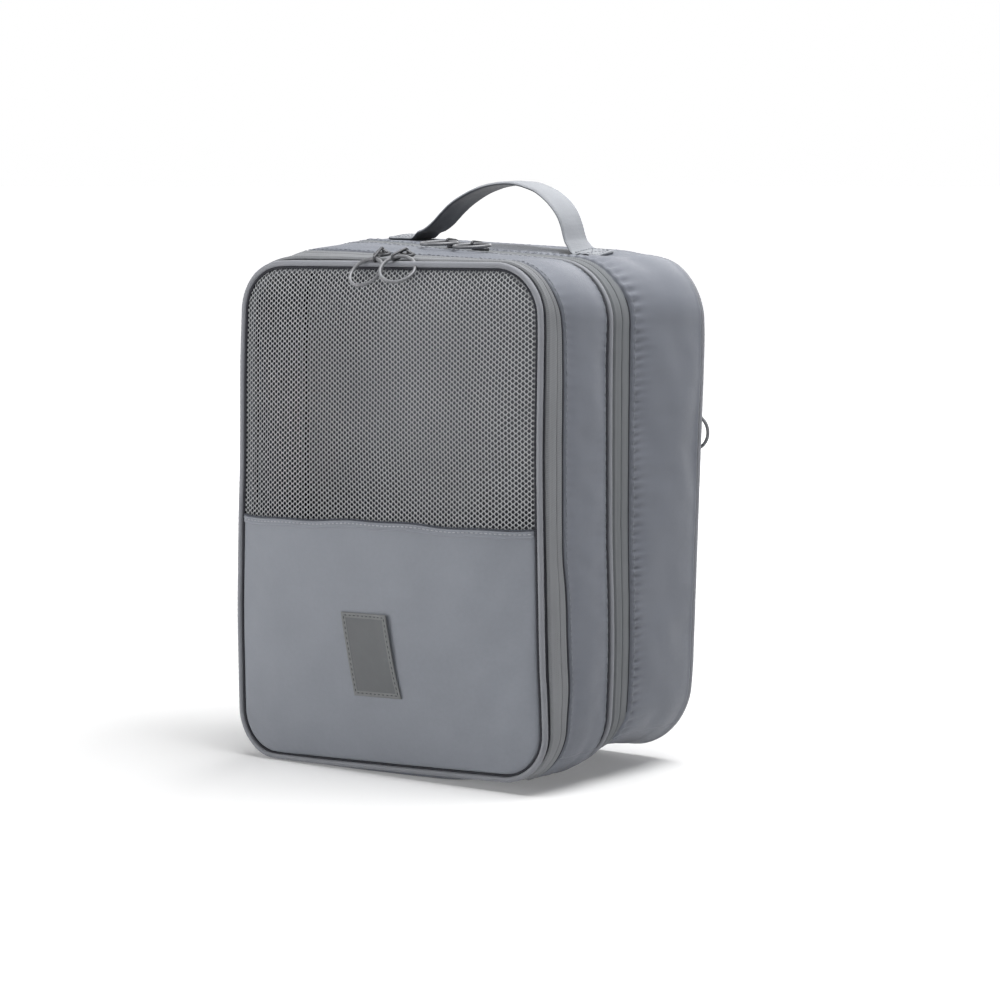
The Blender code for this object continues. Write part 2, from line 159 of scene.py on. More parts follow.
# how the seams stray from a true outline: the sides in x, the front zip in y
STRAY_F = table([0, 40, 52, 63, 80, 150, 180, 205, 225, 245, 262, 300], [-0.8, -1.2, -1.4, -2.2, -2.4, -2.5, -2.4, -1.9, -1.0, -0.4, 0.3, -0.7])
STRAY_FL = table([0, 19, 30, 60, 89, 118, 147, 165, 177, 206, 238, 258, 270, 300], [-1.2, -0.6, -1.3, -1.8, -2.3, -1.5, -0.9, 0.0, 0.6, 1.0, 1.4, 2.3, 3.1, 3.0])
STRAY_M = table([0, 26, 50, 70, 97, 120, 140, 200, 240, 262, 280, 300], [1.5, 2.1, 3.3, 3.9, 3.6, 2.7, 1.9, 1.4, 1.3, 1.4, 2.4, 2.1])
STRAY_R = table([0, 15, 30, 42, 250, 262, 275, 285, 300], [-1.2, -1.6, -1.6, 0.0, 0.0, -0.8, -1.7, -1.7, -1.2])
STRAY_ZIP = table([0, 37, 48, 60, 84, 107, 119, 130, 154, 224, 259, 271, 283, 301], [2.0, 3.4, 5.4, 5.5, 3.8, 3.9, 3.0, 1.1, 1.3, 1.7, 0.9, -0.9, -3.9, -2.6], 6.0)


def stray(x, z, y):
    """Moves in x, y and z of the points of the loop at depth y."""
    w, _ = shares(y)
    right, left = smooth((x - 10) / 85), smooth((-x - 10) / 85)
    dx = right * (w[0] * STRAY_F(z) + w[1] * STRAY_M(z) + w[2] * STRAY_R(z)) + left * w[0] * STRAY_FL(z)
    dy = right * np.interp(y, [-69.5, -66, -58, -57, -22], [0, 0.1, 1, 1, 0]) * STRAY_ZIP(z)
    # the base is drawn up towards the right side, and the top left corner falls away
    up = np.interp(y, [-69.5, -66, -60, -47, -34, -26, -16.4, -10, 0, 20, 44, 55, 68.5], [0, 3.0, 5.2, 5.8, 5.8, 3.5, 1.5, 3.0, 5.0, 7.0, 8.0, 7.0, 6.0])
    dz = up * smooth((x - 25) / 45) * np.clip(1 - z / 70, 0, 1) ** 2
    dz = dz - 5.2 * smooth((-68 - x) / 22) * smooth((z - 230) / 50) * np.interp(y, [-69.5, -60, -20, -7, 10], [0.12, 1, 1, 0.5, 0])
    high = smooth((z - 262) / 30)
    dz = dz - 3.2 * np.exp(-(((x + 74) / 16) ** 2) - ((y + 37) / 17) ** 2) * high
    dz = dz - 2.0 * np.exp(-(((x - 74) / 12) ** 2)) * high * np.interp(y, [20, 45, 68.5], [0, 0.8, 1])
    return dx, dy, dz


def on_floor(z, low=FLOOR):
    return low + 0.5 * ((z - low) + np.sqrt((z - low) ** 2 + 0.8))


def belly(y):
    """How far the base hangs below its seams."""
    return np.interp(
        y,
        [-69.5, -66, -60, -52, -40, -27, -16.4, -6, 8, 28, 48, 68.5],
        [0.0, -1.6, -4.2, -5.4, -5.6, -3.6, 0.2, 3.0, 4.2, 2.0, -1.6, -3.2],
    )


def body(y, out=0.0, inset=0.0, low=FLOOR):
    """The loop at depth y, moved outwards by out."""
    w, lin = shares(y)
    x, z, nx, nz = rect_loop(float(lin @ RAD), inset)
    dx, dy, dz = stray(x, z, y)
    x, z = warp(x, z, np.tensordot(w, SET, 1))
    z = z + belly(y) * LOW + dz
    x, z = x + dx + nx * out, z + nz * out
    z = np.where(nz < 0.3, on_floor(z, low), z)
    return np.stack([x, float(y) + dy, z], -1)


def waves(a, b, seed, n=7, lo=0.6, hi=1.9):
    """Smooth undulation from -1 to 1 over two coordinates, the same each time."""
    g = np.random.default_rng(seed)
    s = np.zeros(np.broadcast(a, b).shape)
    for _ in range(n):
        k, d, p = g.uniform(lo, hi), g.uniform(0, math.pi), g.uniform(0, 2 * math.pi)
        s = s + np.sin(2 * math.pi * k * (a * math.cos(d) + b * math.sin(d)) + p)
    return s / (0.75 * n)


def smooth(t):
    t = np.clip(t, 0, 1)
    return t * t * (3 - 2 * t)


# ---------------------------------------------------------------- meshes
def link(o):
    bpy.context.scene.collection.objects.link(o)
    return o


def mesh_object(name, verts, faces, uv=None, mats=(), mat_index=None, flat=False):
    """A mesh object from points in mm; uv is one pair in mm for each point."""
    me = bpy.data.meshes.new(name)
    me.from_pydata((np.asarray(verts, float) * MM).tolist(), [], faces)
    if uv is not None:
        layer = me.uv_layers.new(name=UV)
        loops = np.empty(len(me.loops), np.int32)
        me.loops.foreach_get("vertex_index", loops)
        layer.data.foreach_set(
            "uv", (np.asarray(uv, float)[loops] * MM).astype(np.float32).ravel()
        )
    for m in mats:
        me.materials.append(m)
    if mat_index is not None:
        me.polygons.foreach_set("material_index", np.asarray(mat_index, np.int32))
    me.polygons.foreach_set("use_smooth", [not flat] * len(me.polygons))
    me.update()
    return link(bpy.data.objects.new(name, me))


def grid_faces(nu, nv, flip=False, wrap=False):
    i, j = np.meshgrid(np.arange(nu - (0 if wrap else 1)), np.arange(nv - 1), indexing="ij")
    i, j = i.ravel(), j.ravel()
    k = (i + 1) % nu
    q = [i * nv + j, i * nv + j + 1, k * nv + j + 1, k * nv + j]
    if flip:
        q = q[::-1]
    return np.stack(q, -1).tolist()


def cloth(name, grid, uv, mats, thick=1.1, flip=False, inner=1):
    """A sheet of cloth: a grid of points on its outer side and a second material inside."""
    nu, nv = grid.shape[:2]
    o = mesh_object(
        name, grid.reshape(-1, 3), grid_faces(nu, nv, flip), uv.reshape(-1, 2), mats
    )
    if thick:
        s = o.modifiers.new("thickness", "SOLIDIFY")
        s.thickness, s.offset = thick * MM, -1
        s.material_offset = inner if len(mats) > 1 else 0
        s.material_offset_rim = 0
    return o


def tube(name, path, radius, mats, side=None, up=None, sides=12, closed=False, along=None):
    """A round tube round a path; side and up are two vectors across it at each point."""
    path = np.asarray(path, float)
    n = len(path)
    if side is None:
        t = np.gradient(path, axis=0)
        if closed:
            t = np.roll(path, -1, 0) - np.roll(path, 1, 0)
        t /= np.linalg.norm(t, axis=1)[:, None]
        side, up = np.empty_like(path), np.empty_like(path)
        ref = np.array([0.0, 0.0, 1.0]) if abs(t[0, 2]) < 0.9 else np.array([1.0, 0, 0])
        s = np.cross(t[0], ref)
        for k in range(n):
            s = s - t[k] * (s @ t[k])
            s /= np.linalg.norm(s)
            side[k], up[k] = s, np.cross(t[k], s)
    r = np.broadcast_to(np.asarray(radius, float), (n, sides)) if np.ndim(radius) == 2 else np.repeat(
        np.broadcast_to(np.asarray(radius, float), (n,))[:, None], sides, 1
    )
    ang = 2 * math.pi * np.arange(sides) / sides
    ring = (
        path[:, None]
        + r[..., None]
        * (np.cos(ang)[None, :, None] * side[:, None] + np.sin(ang)[None, :, None] * up[:, None])
    )
    if along is None:
        along = np.concatenate([[0], np.cumsum(np.linalg.norm(np.diff(path, axis=0), axis=1))])
    uv = np.stack(
        [np.repeat(along[:, None], sides, 1), np.tile(ang * np.mean(r), (n, 1))], -1
    )
    faces = []
    for k in range(n if closed else n - 1):
        m = (k + 1) % n
        for a in range(sides):
            b = (a + 1) % sides
            faces.append((k * sides + a, m * sides + a, m * sides + b, k * sides + b))
    if not closed:
        faces.append(tuple(range(sides)))
        faces.append(tuple((n - 1) * sides + a for a in reversed(range(sides))))
    o = mesh_object(name, ring.reshape(-1, 3), faces, uv.reshape(-1, 2), mats)
    fix_normals(o)
    return o


def fix_normals(o):
    bm = bmesh.new()
    bm.from_mesh(o.data)
    bmesh.ops.recalc_face_normals(bm, faces=bm.faces)
    bm.to_mesh(o.data)
    bm.free()


def resample(path, pitch, *more):
    path = np.asarray(path, float)
    s = np.concatenate([[0], np.cumsum(np.linalg.norm(np.diff(path, axis=0), axis=1))])
    n = max(2, int(round(s[-1] / pitch)))
    at = (np.arange(n) + 0.5) * s[-1] / n
    return [np.stack([np.interp(at, s, a[:, k]) for k in range(a.shape[1])], -1) for a in (path, *more)]


def stitches(name, lines, mat, pitch=3.4, length=2.5, wide=0.42, high=0.3):
    """Rows of thread stitches; each line is (points, surface normals)."""
    verts, faces, uv = [], [], []
    prof = [(-1.0, 0.15, -0.6), (-0.72, 0.8, 0.0), (0.0, 1.0, 0.35), (0.72, 0.8, 0.0), (1.0, 0.15, -0.6)]
    sides = 6
    for path, normal in lines:
        path, normal = np.asarray(path, float), np.asarray(normal, float)
        p, nn = resample(path, pitch, normal)
        t = np.gradient(p, axis=0)
        t /= np.linalg.norm(t, axis=1)[:, None]
        nn = nn - t * (nn * t).sum(1)[:, None]
        nn /= np.maximum(np.linalg.norm(nn, axis=1), 1e-9)[:, None]
        b = np.cross(t, nn)
        for c, tt, n_, bb in zip(p, t, nn, b):
            base = len(verts)
            for f, r, h in prof:
                for a in range(sides):
                    g = 2 * math.pi * a / sides
                    verts.append(
                        c + tt * (f * length / 2) + bb * (math.cos(g) * r * wide) + n_ * (math.sin(g) * r * high + h * high)
                    )
                    uv.append((f * length / 2, g))
            for k in range(len(prof) - 1):
                for a in range(sides):
                    q = (a + 1) % sides
                    faces.append((base + k * sides + a, base + k * sides + q, base + (k + 1) * sides + q, base + (k + 1) * sides + a))
            faces.append(tuple(base + a for a in reversed(range(sides))))
            faces.append(tuple(base + (len(prof) - 1) * sides + a for a in range(sides)))
    return mesh_object(name, np.array(verts), faces, np.array(uv), [mat])


# ---------------------------------------------------------------- materials
def new_material(name):
    m = bpy.data.materials.new(name)
    m.use_nodes = True
    nt = m.node_tree
    nt.nodes.clear()
    out = nt.nodes.new("ShaderNodeOutputMaterial")
    b = nt.nodes.new("ShaderNodeBsdfPrincipled")
    nt.links.new(b.outputs[0], out.inputs["Surface"])
    return m, nt, b


def node(nt, kind, **values):
    n = nt.nodes.new(kind)
    for k, v in values.items():
        if hasattr(n, k):
            setattr(n, k, v)
        else:
            n.inputs[k].default_value = v
    return n


def uv_of(nt):
    return node(nt, "ShaderNodeUVMap", uv_map=UV).outputs[0]


def wave(nt, vec, direction, pitch, distort=0.0, profile="SIN"):
    """Bands with that pitch in metres."""
    w = node(nt, "ShaderNodeTexWave", wave_type="BANDS", bands_direction=direction, wave_profile=profile)
    w.inputs["Scale"].default_value = 2 * math.pi / 20 / pitch
    w.inputs["Distortion"].default_value = distort
    w.inputs["Detail"].default_value = 1.0
    w.inputs["Detail Scale"].default_value = 2.0
    nt.links.new(vec, w.inputs["Vector"])
    return w.outputs["Fac"]


def cloud(nt, vec, scale, detail=3.0, rough=0.55):
    n = node(nt, "ShaderNodeTexNoise")
    n.inputs["Scale"].default_value = scale
    n.inputs["Detail"].default_value = detail
    n.inputs["Roughness"].default_value = rough
    nt.links.new(vec, n.inputs["Vector"])
    return n.outputs["Fac"]


def maths(nt, op, a, b):
    m = node(nt, "ShaderNodeMath", operation=op)
    for k, v in enumerate((a, b)):
        if isinstance(v, (int, float)):
            m.inputs[k].default_value = v
        else:
            nt.links.new(v, m.inputs[k])
    return m.outputs[0]


def ramp(nt, fac, stops):
    r = node(nt, "ShaderNodeValToRGB")
    e = r.color_ramp.elements
    while len(e) < len(stops):
        e.new(0.5)
    for k, (p, c) in enumerate(stops):
        e[k].position = p
        e[k].color = (*c, 1)
    nt.links.new(fac, r.inputs["Fac"])
    return r.outputs["Color"]


def span(nt, fac, lo, hi, a=0.25, b=0.75):
    m = node(nt, "ShaderNodeMapRange")
    for k, v in (("From Min", a), ("From Max", b), ("To Min", lo), ("To Max", hi)):
        m.inputs[k].default_value = v
    nt.links.new(fac, m.inputs["Value"])
    return m.outputs["Result"]


def bump(nt, height, distance, strength=1.0, normal=None):
    b = node(nt, "ShaderNodeBump")
    b.inputs["Strength"].default_value = strength
    b.inputs["Distance"].default_value = distance
    nt.links.new(height, b.inputs["Height"])
    if normal is not None:
        nt.links.new(normal, b.inputs["Normal"])
    return b.outputs["Normal"]


def tint(c, k):
    return tuple(min(1.0, x * k) for x in c)


def woven(name, colour, pitch=0.00055, rough=0.56, weave=0.00006, crinkle=0.00022, sheen=0.12, spec=0.38, spread=0.07, twill=False):
    """Woven cloth: crossing threads, soft crinkles, slight cloudiness in tone and gloss."""
    m, nt, b = new_material(name)
    uv = uv_of(nt)
    if twill:
        mp = node(nt, "ShaderNodeMapping")
        mp.inputs["Rotation"].default_value = (0, 0, math.radians(32))
        nt.links.new(uv, mp.inputs["Vector"])
        threads = maths(nt, "MAXIMUM", wave(nt, mp.outputs[0], "X", pitch), maths(nt, "MULTIPLY", wave(nt, uv, "Y", pitch * 0.8), 0.7))
    else:
        threads = maths(nt, "MAXIMUM", wave(nt, uv, "X", pitch, 0.4), wave(nt, uv, "Y", pitch, 0.4))
    big = cloud(nt, uv, 26, 4)
    small = cloud(nt, uv, 420, 3)
    tone = maths(nt, "ADD", maths(nt, "MULTIPLY", big, 0.6), maths(nt, "MULTIPLY", small, 0.4))
    col = ramp(nt, tone, [(0.3, tint(colour, 1 - spread)), (0.5, colour), (0.7, tint(colour, 1 + spread))])
    # the colour is darkened where the threads lie low: painted shade between the threads
    mix = node(nt, "ShaderNodeMix", data_type="RGBA", blend_type="MULTIPLY")
    mix.inputs["Factor"].default_value = 0.5
    nt.links.new(col, mix.inputs["A"])
    nt.links.new(ramp(nt, threads, [(0.35, (0.72, 0.72, 0.73)), (1.0, (1, 1, 1))]), mix.inputs["B"])
    nt.links.new(mix.outputs["Result"], b.inputs["Base Color"])
    nt.links.new(span(nt, small, rough - 0.07, rough + 0.1), b.inputs["Roughness"])
    folds = bump(nt, cloud(nt, uv, 75, 4, 0.5), crinkle)
    nt.links.new(bump(nt, threads, weave, 1.0, folds), b.inputs["Normal"])
    b.inputs["Specular IOR Level"].default_value = spec
    b.inputs["Sheen Weight"].default_value = sheen
    b.inputs["Sheen Roughness"].default_value = 0.45
    return m


def srgb(r, g, b):
    return tuple(((c / 255 + 0.055) / 1.055) ** 2.4 if c > 10 else c / 255 / 12.92 for c in (r, g, b))


SLATE = srgb(129, 133, 141)
cloth_mat = woven("slate_nylon", SLATE)
# a darker copy of the slate nylon for the gussets and base: painted shade for the sides, which get less light than the
# front
shaded_nylon_mat = woven("slate_nylon_painted_shade", srgb(105, 109, 118))
lining_mat = woven("grey_lining", srgb(98, 100, 105), pitch=0.0007, rough=0.62, sheen=0.05)
tape_mat = woven("zip_tape", srgb(107, 110, 113), pitch=0.0011, rough=0.66, weave=0.00016, crinkle=0.00006, sheen=0.08, spec=0.25, twill=True)
# a lighter copy of the zip tape for the front zip: painted light, making up for the shade it lies in between the piping
# and the gusset
painted_light_tape_mat = woven("zip_tape_painted_light", srgb(126, 128, 131), pitch=0.0011, rough=0.66, weave=0.00016, crinkle=0.00006, sheen=0.08, spec=0.25, twill=True)
piping_mat = woven("piping_cloth", srgb(130, 132, 138), pitch=0.0006, rough=0.5, weave=0.00006, crinkle=0.0001, spec=0.42)
binding_mat = woven("binding_tape", srgb(96, 98, 103), pitch=0.0009, rough=0.65, weave=0.00012, crinkle=0.00005, spec=0.25)
thread_mat = woven("sewing_thread", srgb(124, 128, 135), pitch=0.0003, rough=0.5, weave=0.00005, crinkle=0.00002, sheen=0.1)
patch_thread_mat = woven("patch_thread", srgb(66, 68, 70), pitch=0.0003, rough=0.55, weave=0.00005, crinkle=0.00002, sheen=0.05)
strap_thread_mat = woven("strap_thread", srgb(118, 121, 127), pitch=0.0003, rough=0.5, weave=0.00005, crinkle=0.00002, sheen=0.1)
hem_thread_mat = woven("hem_thread", srgb(158, 161, 166), pitch=0.0003, rough=0.5, weave=0.00005, crinkle=0.00002, sheen=0.1)
# dark cords laid in the seams: painted shade for their shadow lines
seam_shadow_mat = woven("seam_painted_shadow", srgb(54, 55, 60), pitch=0.0006, rough=0.75, weave=0.00006, crinkle=0.00006, sheen=0.0, spec=0.15)
# a dark cord along the top of the hem: painted shade for the shadow line above its folded edge
hem_shadow_mat = woven("hem_painted_shadow", srgb(78, 81, 88), pitch=0.0006, rough=0.75, weave=0.00006, crinkle=0.00006, sheen=0.0, spec=0.15)
net_mat = woven("net_thread", srgb(172, 174, 176), pitch=0.0004, rough=0.55, weave=0.00005, crinkle=0.00002, sheen=0.1)


def webbing(name, shade):
    """Strap webbing: fine ribs across, rows of floats along."""
    m, nt, b = new_material(name)
    uv = uv_of(nt)
    ribs = wave(nt, uv, "X", 0.0008, 0.3)
    rows = wave(nt, uv, "Y", 0.0011, 0.2)
    h = maths(nt, "ADD", maths(nt, "MULTIPLY", ribs, 0.45), maths(nt, "MULTIPLY", rows, 0.55))
    c = srgb(*shade)
    tone = maths(nt, "ADD", maths(nt, "MULTIPLY", cloud(nt, uv, 40, 4), 0.7), maths(nt, "MULTIPLY", cloud(nt, uv, 900, 2), 0.3))
    # the colour is darkened in the hollows between ribs and rows: painted shade
    mix = node(nt, "ShaderNodeMix", data_type="RGBA", blend_type="MULTIPLY")
    mix.inputs["Factor"].default_value = 0.6
    nt.links.new(ramp(nt, tone, [(0.3, tint(c, 0.9)), (0.7, tint(c, 1.1))]), mix.inputs["A"])
    nt.links.new(ramp(nt, h, [(0.1, (0.84, 0.84, 0.85)), (0.8, (1, 1, 1))]), mix.inputs["B"])
    nt.links.new(mix.outputs["Result"], b.inputs["Base Color"])
    nt.links.new(span(nt, tone, 0.5, 0.68), b.inputs["Roughness"])
    nt.links.new(bump(nt, h, 0.00008, 1.0, bump(nt, cloud(nt, uv, 90, 3), 0.0003)), b.inputs["Normal"])
    b.inputs["Specular IOR Level"].default_value = 0.35
    b.inputs["Sheen Weight"].default_value = 0.15
    b.inputs["Sheen Roughness"].default_value = 0.4
    return m


def painted_metal(name, colours, metallic, rough):
    """Painted zinc wire: a thin uneven coat, rubbed a little brighter here and there."""
    m, nt, b = new_material(name)
    co = node(nt, "ShaderNodeTexCoord").outputs["Object"]
    wear = cloud(nt, co, 900, 5, 0.6)
    broad = cloud(nt, co, 160, 3)
    nt.links.new(
        ramp(nt, maths(nt, "ADD", maths(nt, "MULTIPLY", wear, 0.5), maths(nt, "MULTIPLY", broad, 0.5)),
             list(zip((0.32, 0.55, 0.72), (srgb(c_, c_ + 1, c_ + 4) for c_ in colours)))),
        b.inputs["Base Color"],
    )
    nt.links.new(span(nt, wear, rough - 0.08, rough + 0.1), b.inputs["Roughness"])
    nt.links.new(bump(nt, wear, 0.00003), b.inputs["Normal"])
    b.inputs["Metallic"].default_value = metallic
    return m


def rubber(name, tone):
    """The patch: a matt, lightly grained sheet with scuffs."""
    m, nt, b = new_material(name)
    uv = uv_of(nt)
    grain = node(nt, "ShaderNodeTexVoronoi", feature="DISTANCE_TO_EDGE")
    grain.inputs["Scale"].default_value = 1100
    nt.links.new(uv, grain.inputs["Vector"])
    scuff = cloud(nt, uv, 130, 5, 0.65)
    c = srgb(*tone)
    nt.links.new(ramp(nt, scuff, [(0.3, tint(c, 0.9)), (0.6, c), (0.8, tint(c, 1.18))]), b.inputs["Base Color"])
    nt.links.new(span(nt, scuff, 0.52, 0.72), b.inputs["Roughness"])
    nt.links.new(bump(nt, grain.outputs["Distance"], 0.00012, 0.7, bump(nt, scuff, 0.0001)), b.inputs["Normal"])
    b.inputs["Specular IOR Level"].default_value = 0.35
    return m


def nylon_coil():
    m, nt, b = new_material("zip_coil_nylon")
    uv = uv_of(nt)
    n = cloud(nt, uv, 600, 3)
    c = srgb(92, 94, 99)
    nt.links.new(ramp(nt, n, [(0.3, tint(c, 0.85)), (0.7, tint(c, 1.15))]), b.inputs["Base Color"])
    nt.links.new(span(nt, n, 0.3, 0.45), b.inputs["Roughness"])
    nt.links.new(bump(nt, n, 0.00004), b.inputs["Normal"])
    return m


metal_mat = painted_metal("ring_paint", (98, 112, 132), 0.25, 0.42)
slider_mat = painted_metal("slider_paint", (54, 64, 84), 0.4, 0.4)
# the strap's underside gets a darker copy of the webbing: painted shade
web_mat, web_shaded_under_mat = webbing("strap_webbing", (142, 145, 150)), webbing("strap_webbing_painted_shade", (84, 87, 92))
patch_mat, patch_edge_mat, coil_mat = rubber("patch_sheet", (92, 94, 96)), rubber("patch_border", (112, 114, 115)), nylon_coil()

# ---------------------------------------------------------------- which part of the loop
I_BASE_R = START[1] + 24  # base and walls meet partway round the lower corners
I_BASE_L = START[7] + 16
WALL = np.arange(I_BASE_R, I_BASE_L + 1)  # up the right side, over the top, down the left
BASE = np.concatenate([np.arange(I_BASE_L, N), np.arange(0, I_BASE_R + 1)])
ZIP_RUN = np.arange(START[1] + 6, START[7] + 35)  # the zips run on a little under the base
UB = np.where(np.arange(N) >= N // 2, U - (U[-1] + 1.25), U)  # runs through the bottom centre


def strip(ys, pick, out):
    """Grid of the loops at depths ys over the picked stretch; out(y) gives the outward move."""
    return np.stack([body(y, out(y))[pick] for y in ys], 1)


def strip_uv(ys, pick):
    return np.stack(np.broadcast_arrays(UB[pick][:, None] if pick[0] > pick[-1] else U[pick][:, None], np.asarray(ys)[None, :]), -1)


def front_part(o):
    """A piece of the front compartment: its placement is baked into its mesh."""
    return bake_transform(o)


def lid_part(o):
    """A piece of the lid: its placement is baked into its mesh."""
    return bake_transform(o)


# ---------------------------------------------------------------- cloth at rest
def settle(rest, outward, pressure, slack, cap, flip=False, frames=20):
    """A coarse sheet, sewn all round and cut a little loose, settles by cloth simulation.

    Gives a function of the two grid coordinates: how far, in mm, the cloth moves outwards.
    """
    nu, nv = rest.shape[:2]
    o = mesh_object("settling_sheet", rest.reshape(-1, 3), grid_faces(nu, nv, flip))
    edge = np.ones((nu, nv), bool)
    edge[1:-1, 1:-1] = False
    o.vertex_groups.new(name="sewn").add(np.flatnonzero(edge.ravel()).tolist(), 1.0, "REPLACE")
    mod = o.modifiers.new("cloth", "CLOTH")
    c = mod.settings
    c.quality, c.mass, c.air_damping = 6, 0.02, 2.0
    c.tension_stiffness = c.compression_stiffness = c.shear_stiffness = 30.0
    c.bending_stiffness = 0.4
    c.vertex_group_mass = "sewn"
    c.shrink_min = -slack
    c.use_pressure = True
    c.uniform_pressure_force = pressure
    c.effector_weights.gravity = 0.3
    mod.point_cache.frame_start, mod.point_cache.frame_end = 1, frames
    scene = bpy.context.scene
    for f in range(1, frames + 1):
        scene.frame_set(f)
    shown = o.evaluated_get(bpy.context.evaluated_depsgraph_get())
    co = np.empty(nu * nv * 3, np.float32)
    shown.data.vertices.foreach_get("co", co)
    d = ((co.reshape(rest.shape) / MM - rest) * outward).sum(-1)
    me = o.data
    bpy.data.objects.remove(o)
    bpy.data.meshes.remove(me)
    scene.frame_set(1)
    d = np.pad(cap * np.tanh(d / cap), 2, "edge")

    def weights(t):
        return (1 - t) ** 3 / 6, (3 * t**3 - 6 * t**2 + 4) / 6, (-3 * t**3 + 3 * t**2 + 3 * t + 1) / 6, t**3 / 6

    def moved(u, v):
        u, v = np.broadcast_arrays(np.clip(u, 0, nu - 1), np.clip(v, 0, nv - 1))
        i, j = np.floor(u).astype(int), np.floor(v).astype(int)
        wu, wv = weights(u - i), weights(v - j)
        return sum(wu[a] * wv[b] * d[i + 1 + a, j + 1 + b] for a in range(4) for b in range(4))

    return moved


REST = {}  # moves of the settled panels and gussets, by name


def gusset_rest(name, a, b, form, pressure, slack, cap):
    """Settles one gusset between its two seams."""
    ys = np.linspace(a, b, int(round((b - a) / 4.6)) + 1)
    pick = WALL[:: max(1, len(WALL) // 150)]
    if pick[-1] != WALL[-1]:
        pick = np.append(pick, WALL[-1])
    n = np.stack([NX, 0 * NX, NZ], -1)[pick][:, None]
    move = settle(strip(ys, pick, form), n, pressure, slack, cap)
    at = np.interp(np.arange(N), pick, np.arange(len(pick)), 0, len(pick) - 1)
    REST[name] = lambda y: move(at, (y - a) / (b - a) * (len(ys) - 1))


# ---------------------------------------------------------------- gussets and base
def pucker(y, seam, seed, depth, pitch=6.0, reach=5.0):
    """Small gathers that fade away from a seam."""
    d = abs(y - seam)
    w = math.exp(-d / reach) * depth
    ph = 2 * math.pi * U / pitch + 2.2 * waves(U / 90, 0 * U + y / 90, seed)
    amp = 0.75 + 0.35 * waves(U / 35, 0 * U + 0.3, seed + 1)
    return w * amp * np.sin(ph)


def rolled(y, a, b, deep=1.7, lip=0.45):
    """A sewn edge: drawn in at the seam, with a rounded lip beside it."""
    o = 0.0
    for d in (y - a, b - y):
        o += lip * math.exp(-(((d - 1.7) / 1.1) ** 2)) - deep * math.exp(-((d / 0.75) ** 2))
    return o


def stations(a, b, n):
    """Depths across a strip, close together at its two sewn edges."""
    e = np.array([0.0, 0.4, 0.85, 1.4, 2.0])
    return np.concatenate([a + e, np.linspace(a + 3.0, b - 3.0, n), b - e[::-1]])


def front_form(y):
    a, b = FRONT_GUSSET
    t = (y - a) / (b - a)
    puff = np.clip(1 - abs(2 * t - 1) ** 2.2, 0, 1)
    o = (0.7 * SIDE + 1.5 * TOP) * puff + rolled(y, a, b, 1.7, 0.25)
    o = o + puff * (0.6 * waves(U / 70, 0 * U + y / 60, 3) + 0.25 * waves(U / 26, 0 * U + y / 30, 4))
    return o


def front_out(y):
    a, b = FRONT_GUSSET
    return front_form(y) + REST["front_gusset"](y) + pucker(y, a + 2.0, 21, 0.22) + pucker(y, b - 2.0, 23, 0.2)


def foot_folds(y):
    """Short folds in the top cloth in front of the strap's right foot."""
    x = TOPX
    w = np.exp(-(((x - 58) / 13) ** 2) - ((y - 15) / 8.0) ** 2) * TOP
    dent = 3.0 * np.exp(-(((x - 68) / 16) ** 2) - ((y - 28) / 15) ** 2) * TOP
    return w * 0.9 * np.sin(2 * math.pi * (x + 0.55 * (y - 15)) / 5.2 + 0.8 * waves(U / 30, 0 * U + y / 30, 29)) - dent


def rear_form(y):
    a, b = REAR_GUSSET
    t = (y - a) / (b - a)
    puff = np.clip(1 - abs(2 * t - 1) ** 2.6, 0, 1)
    o = (2.4 * SIDE + 2.0 * TOP) * puff + rolled(y, a, b)
    o = o + puff * (1.1 * waves(U / 85, 0 * U + y / 75, 5) + 0.4 * waves(U / 30, 0 * U + y / 36, 6))
    return o


def rear_out(y):
    a, b = REAR_GUSSET
    return rear_form(y) + REST["rear_gusset"](y) + pucker(y, a + 4.6, 25, 1.15, 5.3, 3.4) + pucker(y, b - 2.0, 27, 0.1) + foot_folds(y)


def base_out(y):
    return 0.3 * waves(U / 60, 0 * U + y / 50, 8) * LOW


TOPX = body(30.0)[:, 0]
gusset_rest("front_gusset", *FRONT_GUSSET, front_form, 0.2, 0.0015, 0.9)
gusset_rest("rear_gusset", *REAR_GUSSET, rear_form, 0.2, 0.0015, 1.2)
ys = stations(*FRONT_GUSSET, 21)
front_gusset = cloth("front_gusset_cloth", strip(ys, WALL, front_out), strip_uv(ys, WALL), [shaded_nylon_mat, lining_mat])
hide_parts("front_gusset")
front_part(front_gusset)

ys_f = np.concatenate([[-68.6, -68.0, -67.0], np.linspace(-65.5, FRONT_GUSSET[0] - 1.0, 6), stations(*FRONT_GUSSET, 21)])
front_base = cloth("front_base_cloth", strip(ys_f, BASE, lambda y: base_out(y) + (front_out(y) * (1 - LOW) if y >= FRONT_GUSSET[0] else -0.8 * (1 - LOW)) + (rolled(y, -68.6, FRONT_GUSSET[1], 1.2, 0.2) * LOW)), strip_uv(ys_f, BASE), [shaded_nylon_mat, lining_mat])
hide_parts("front_base")
front_part(front_base)

ys = np.concatenate([stations(REAR_GUSSET[0], 30.0, 14)[:-3], stations(28.0, REAR_GUSSET[1], 16)[4:]])
ys = np.unique(np.round(ys, 3))
rear_gusset_grid = strip(ys, WALL, rear_out)


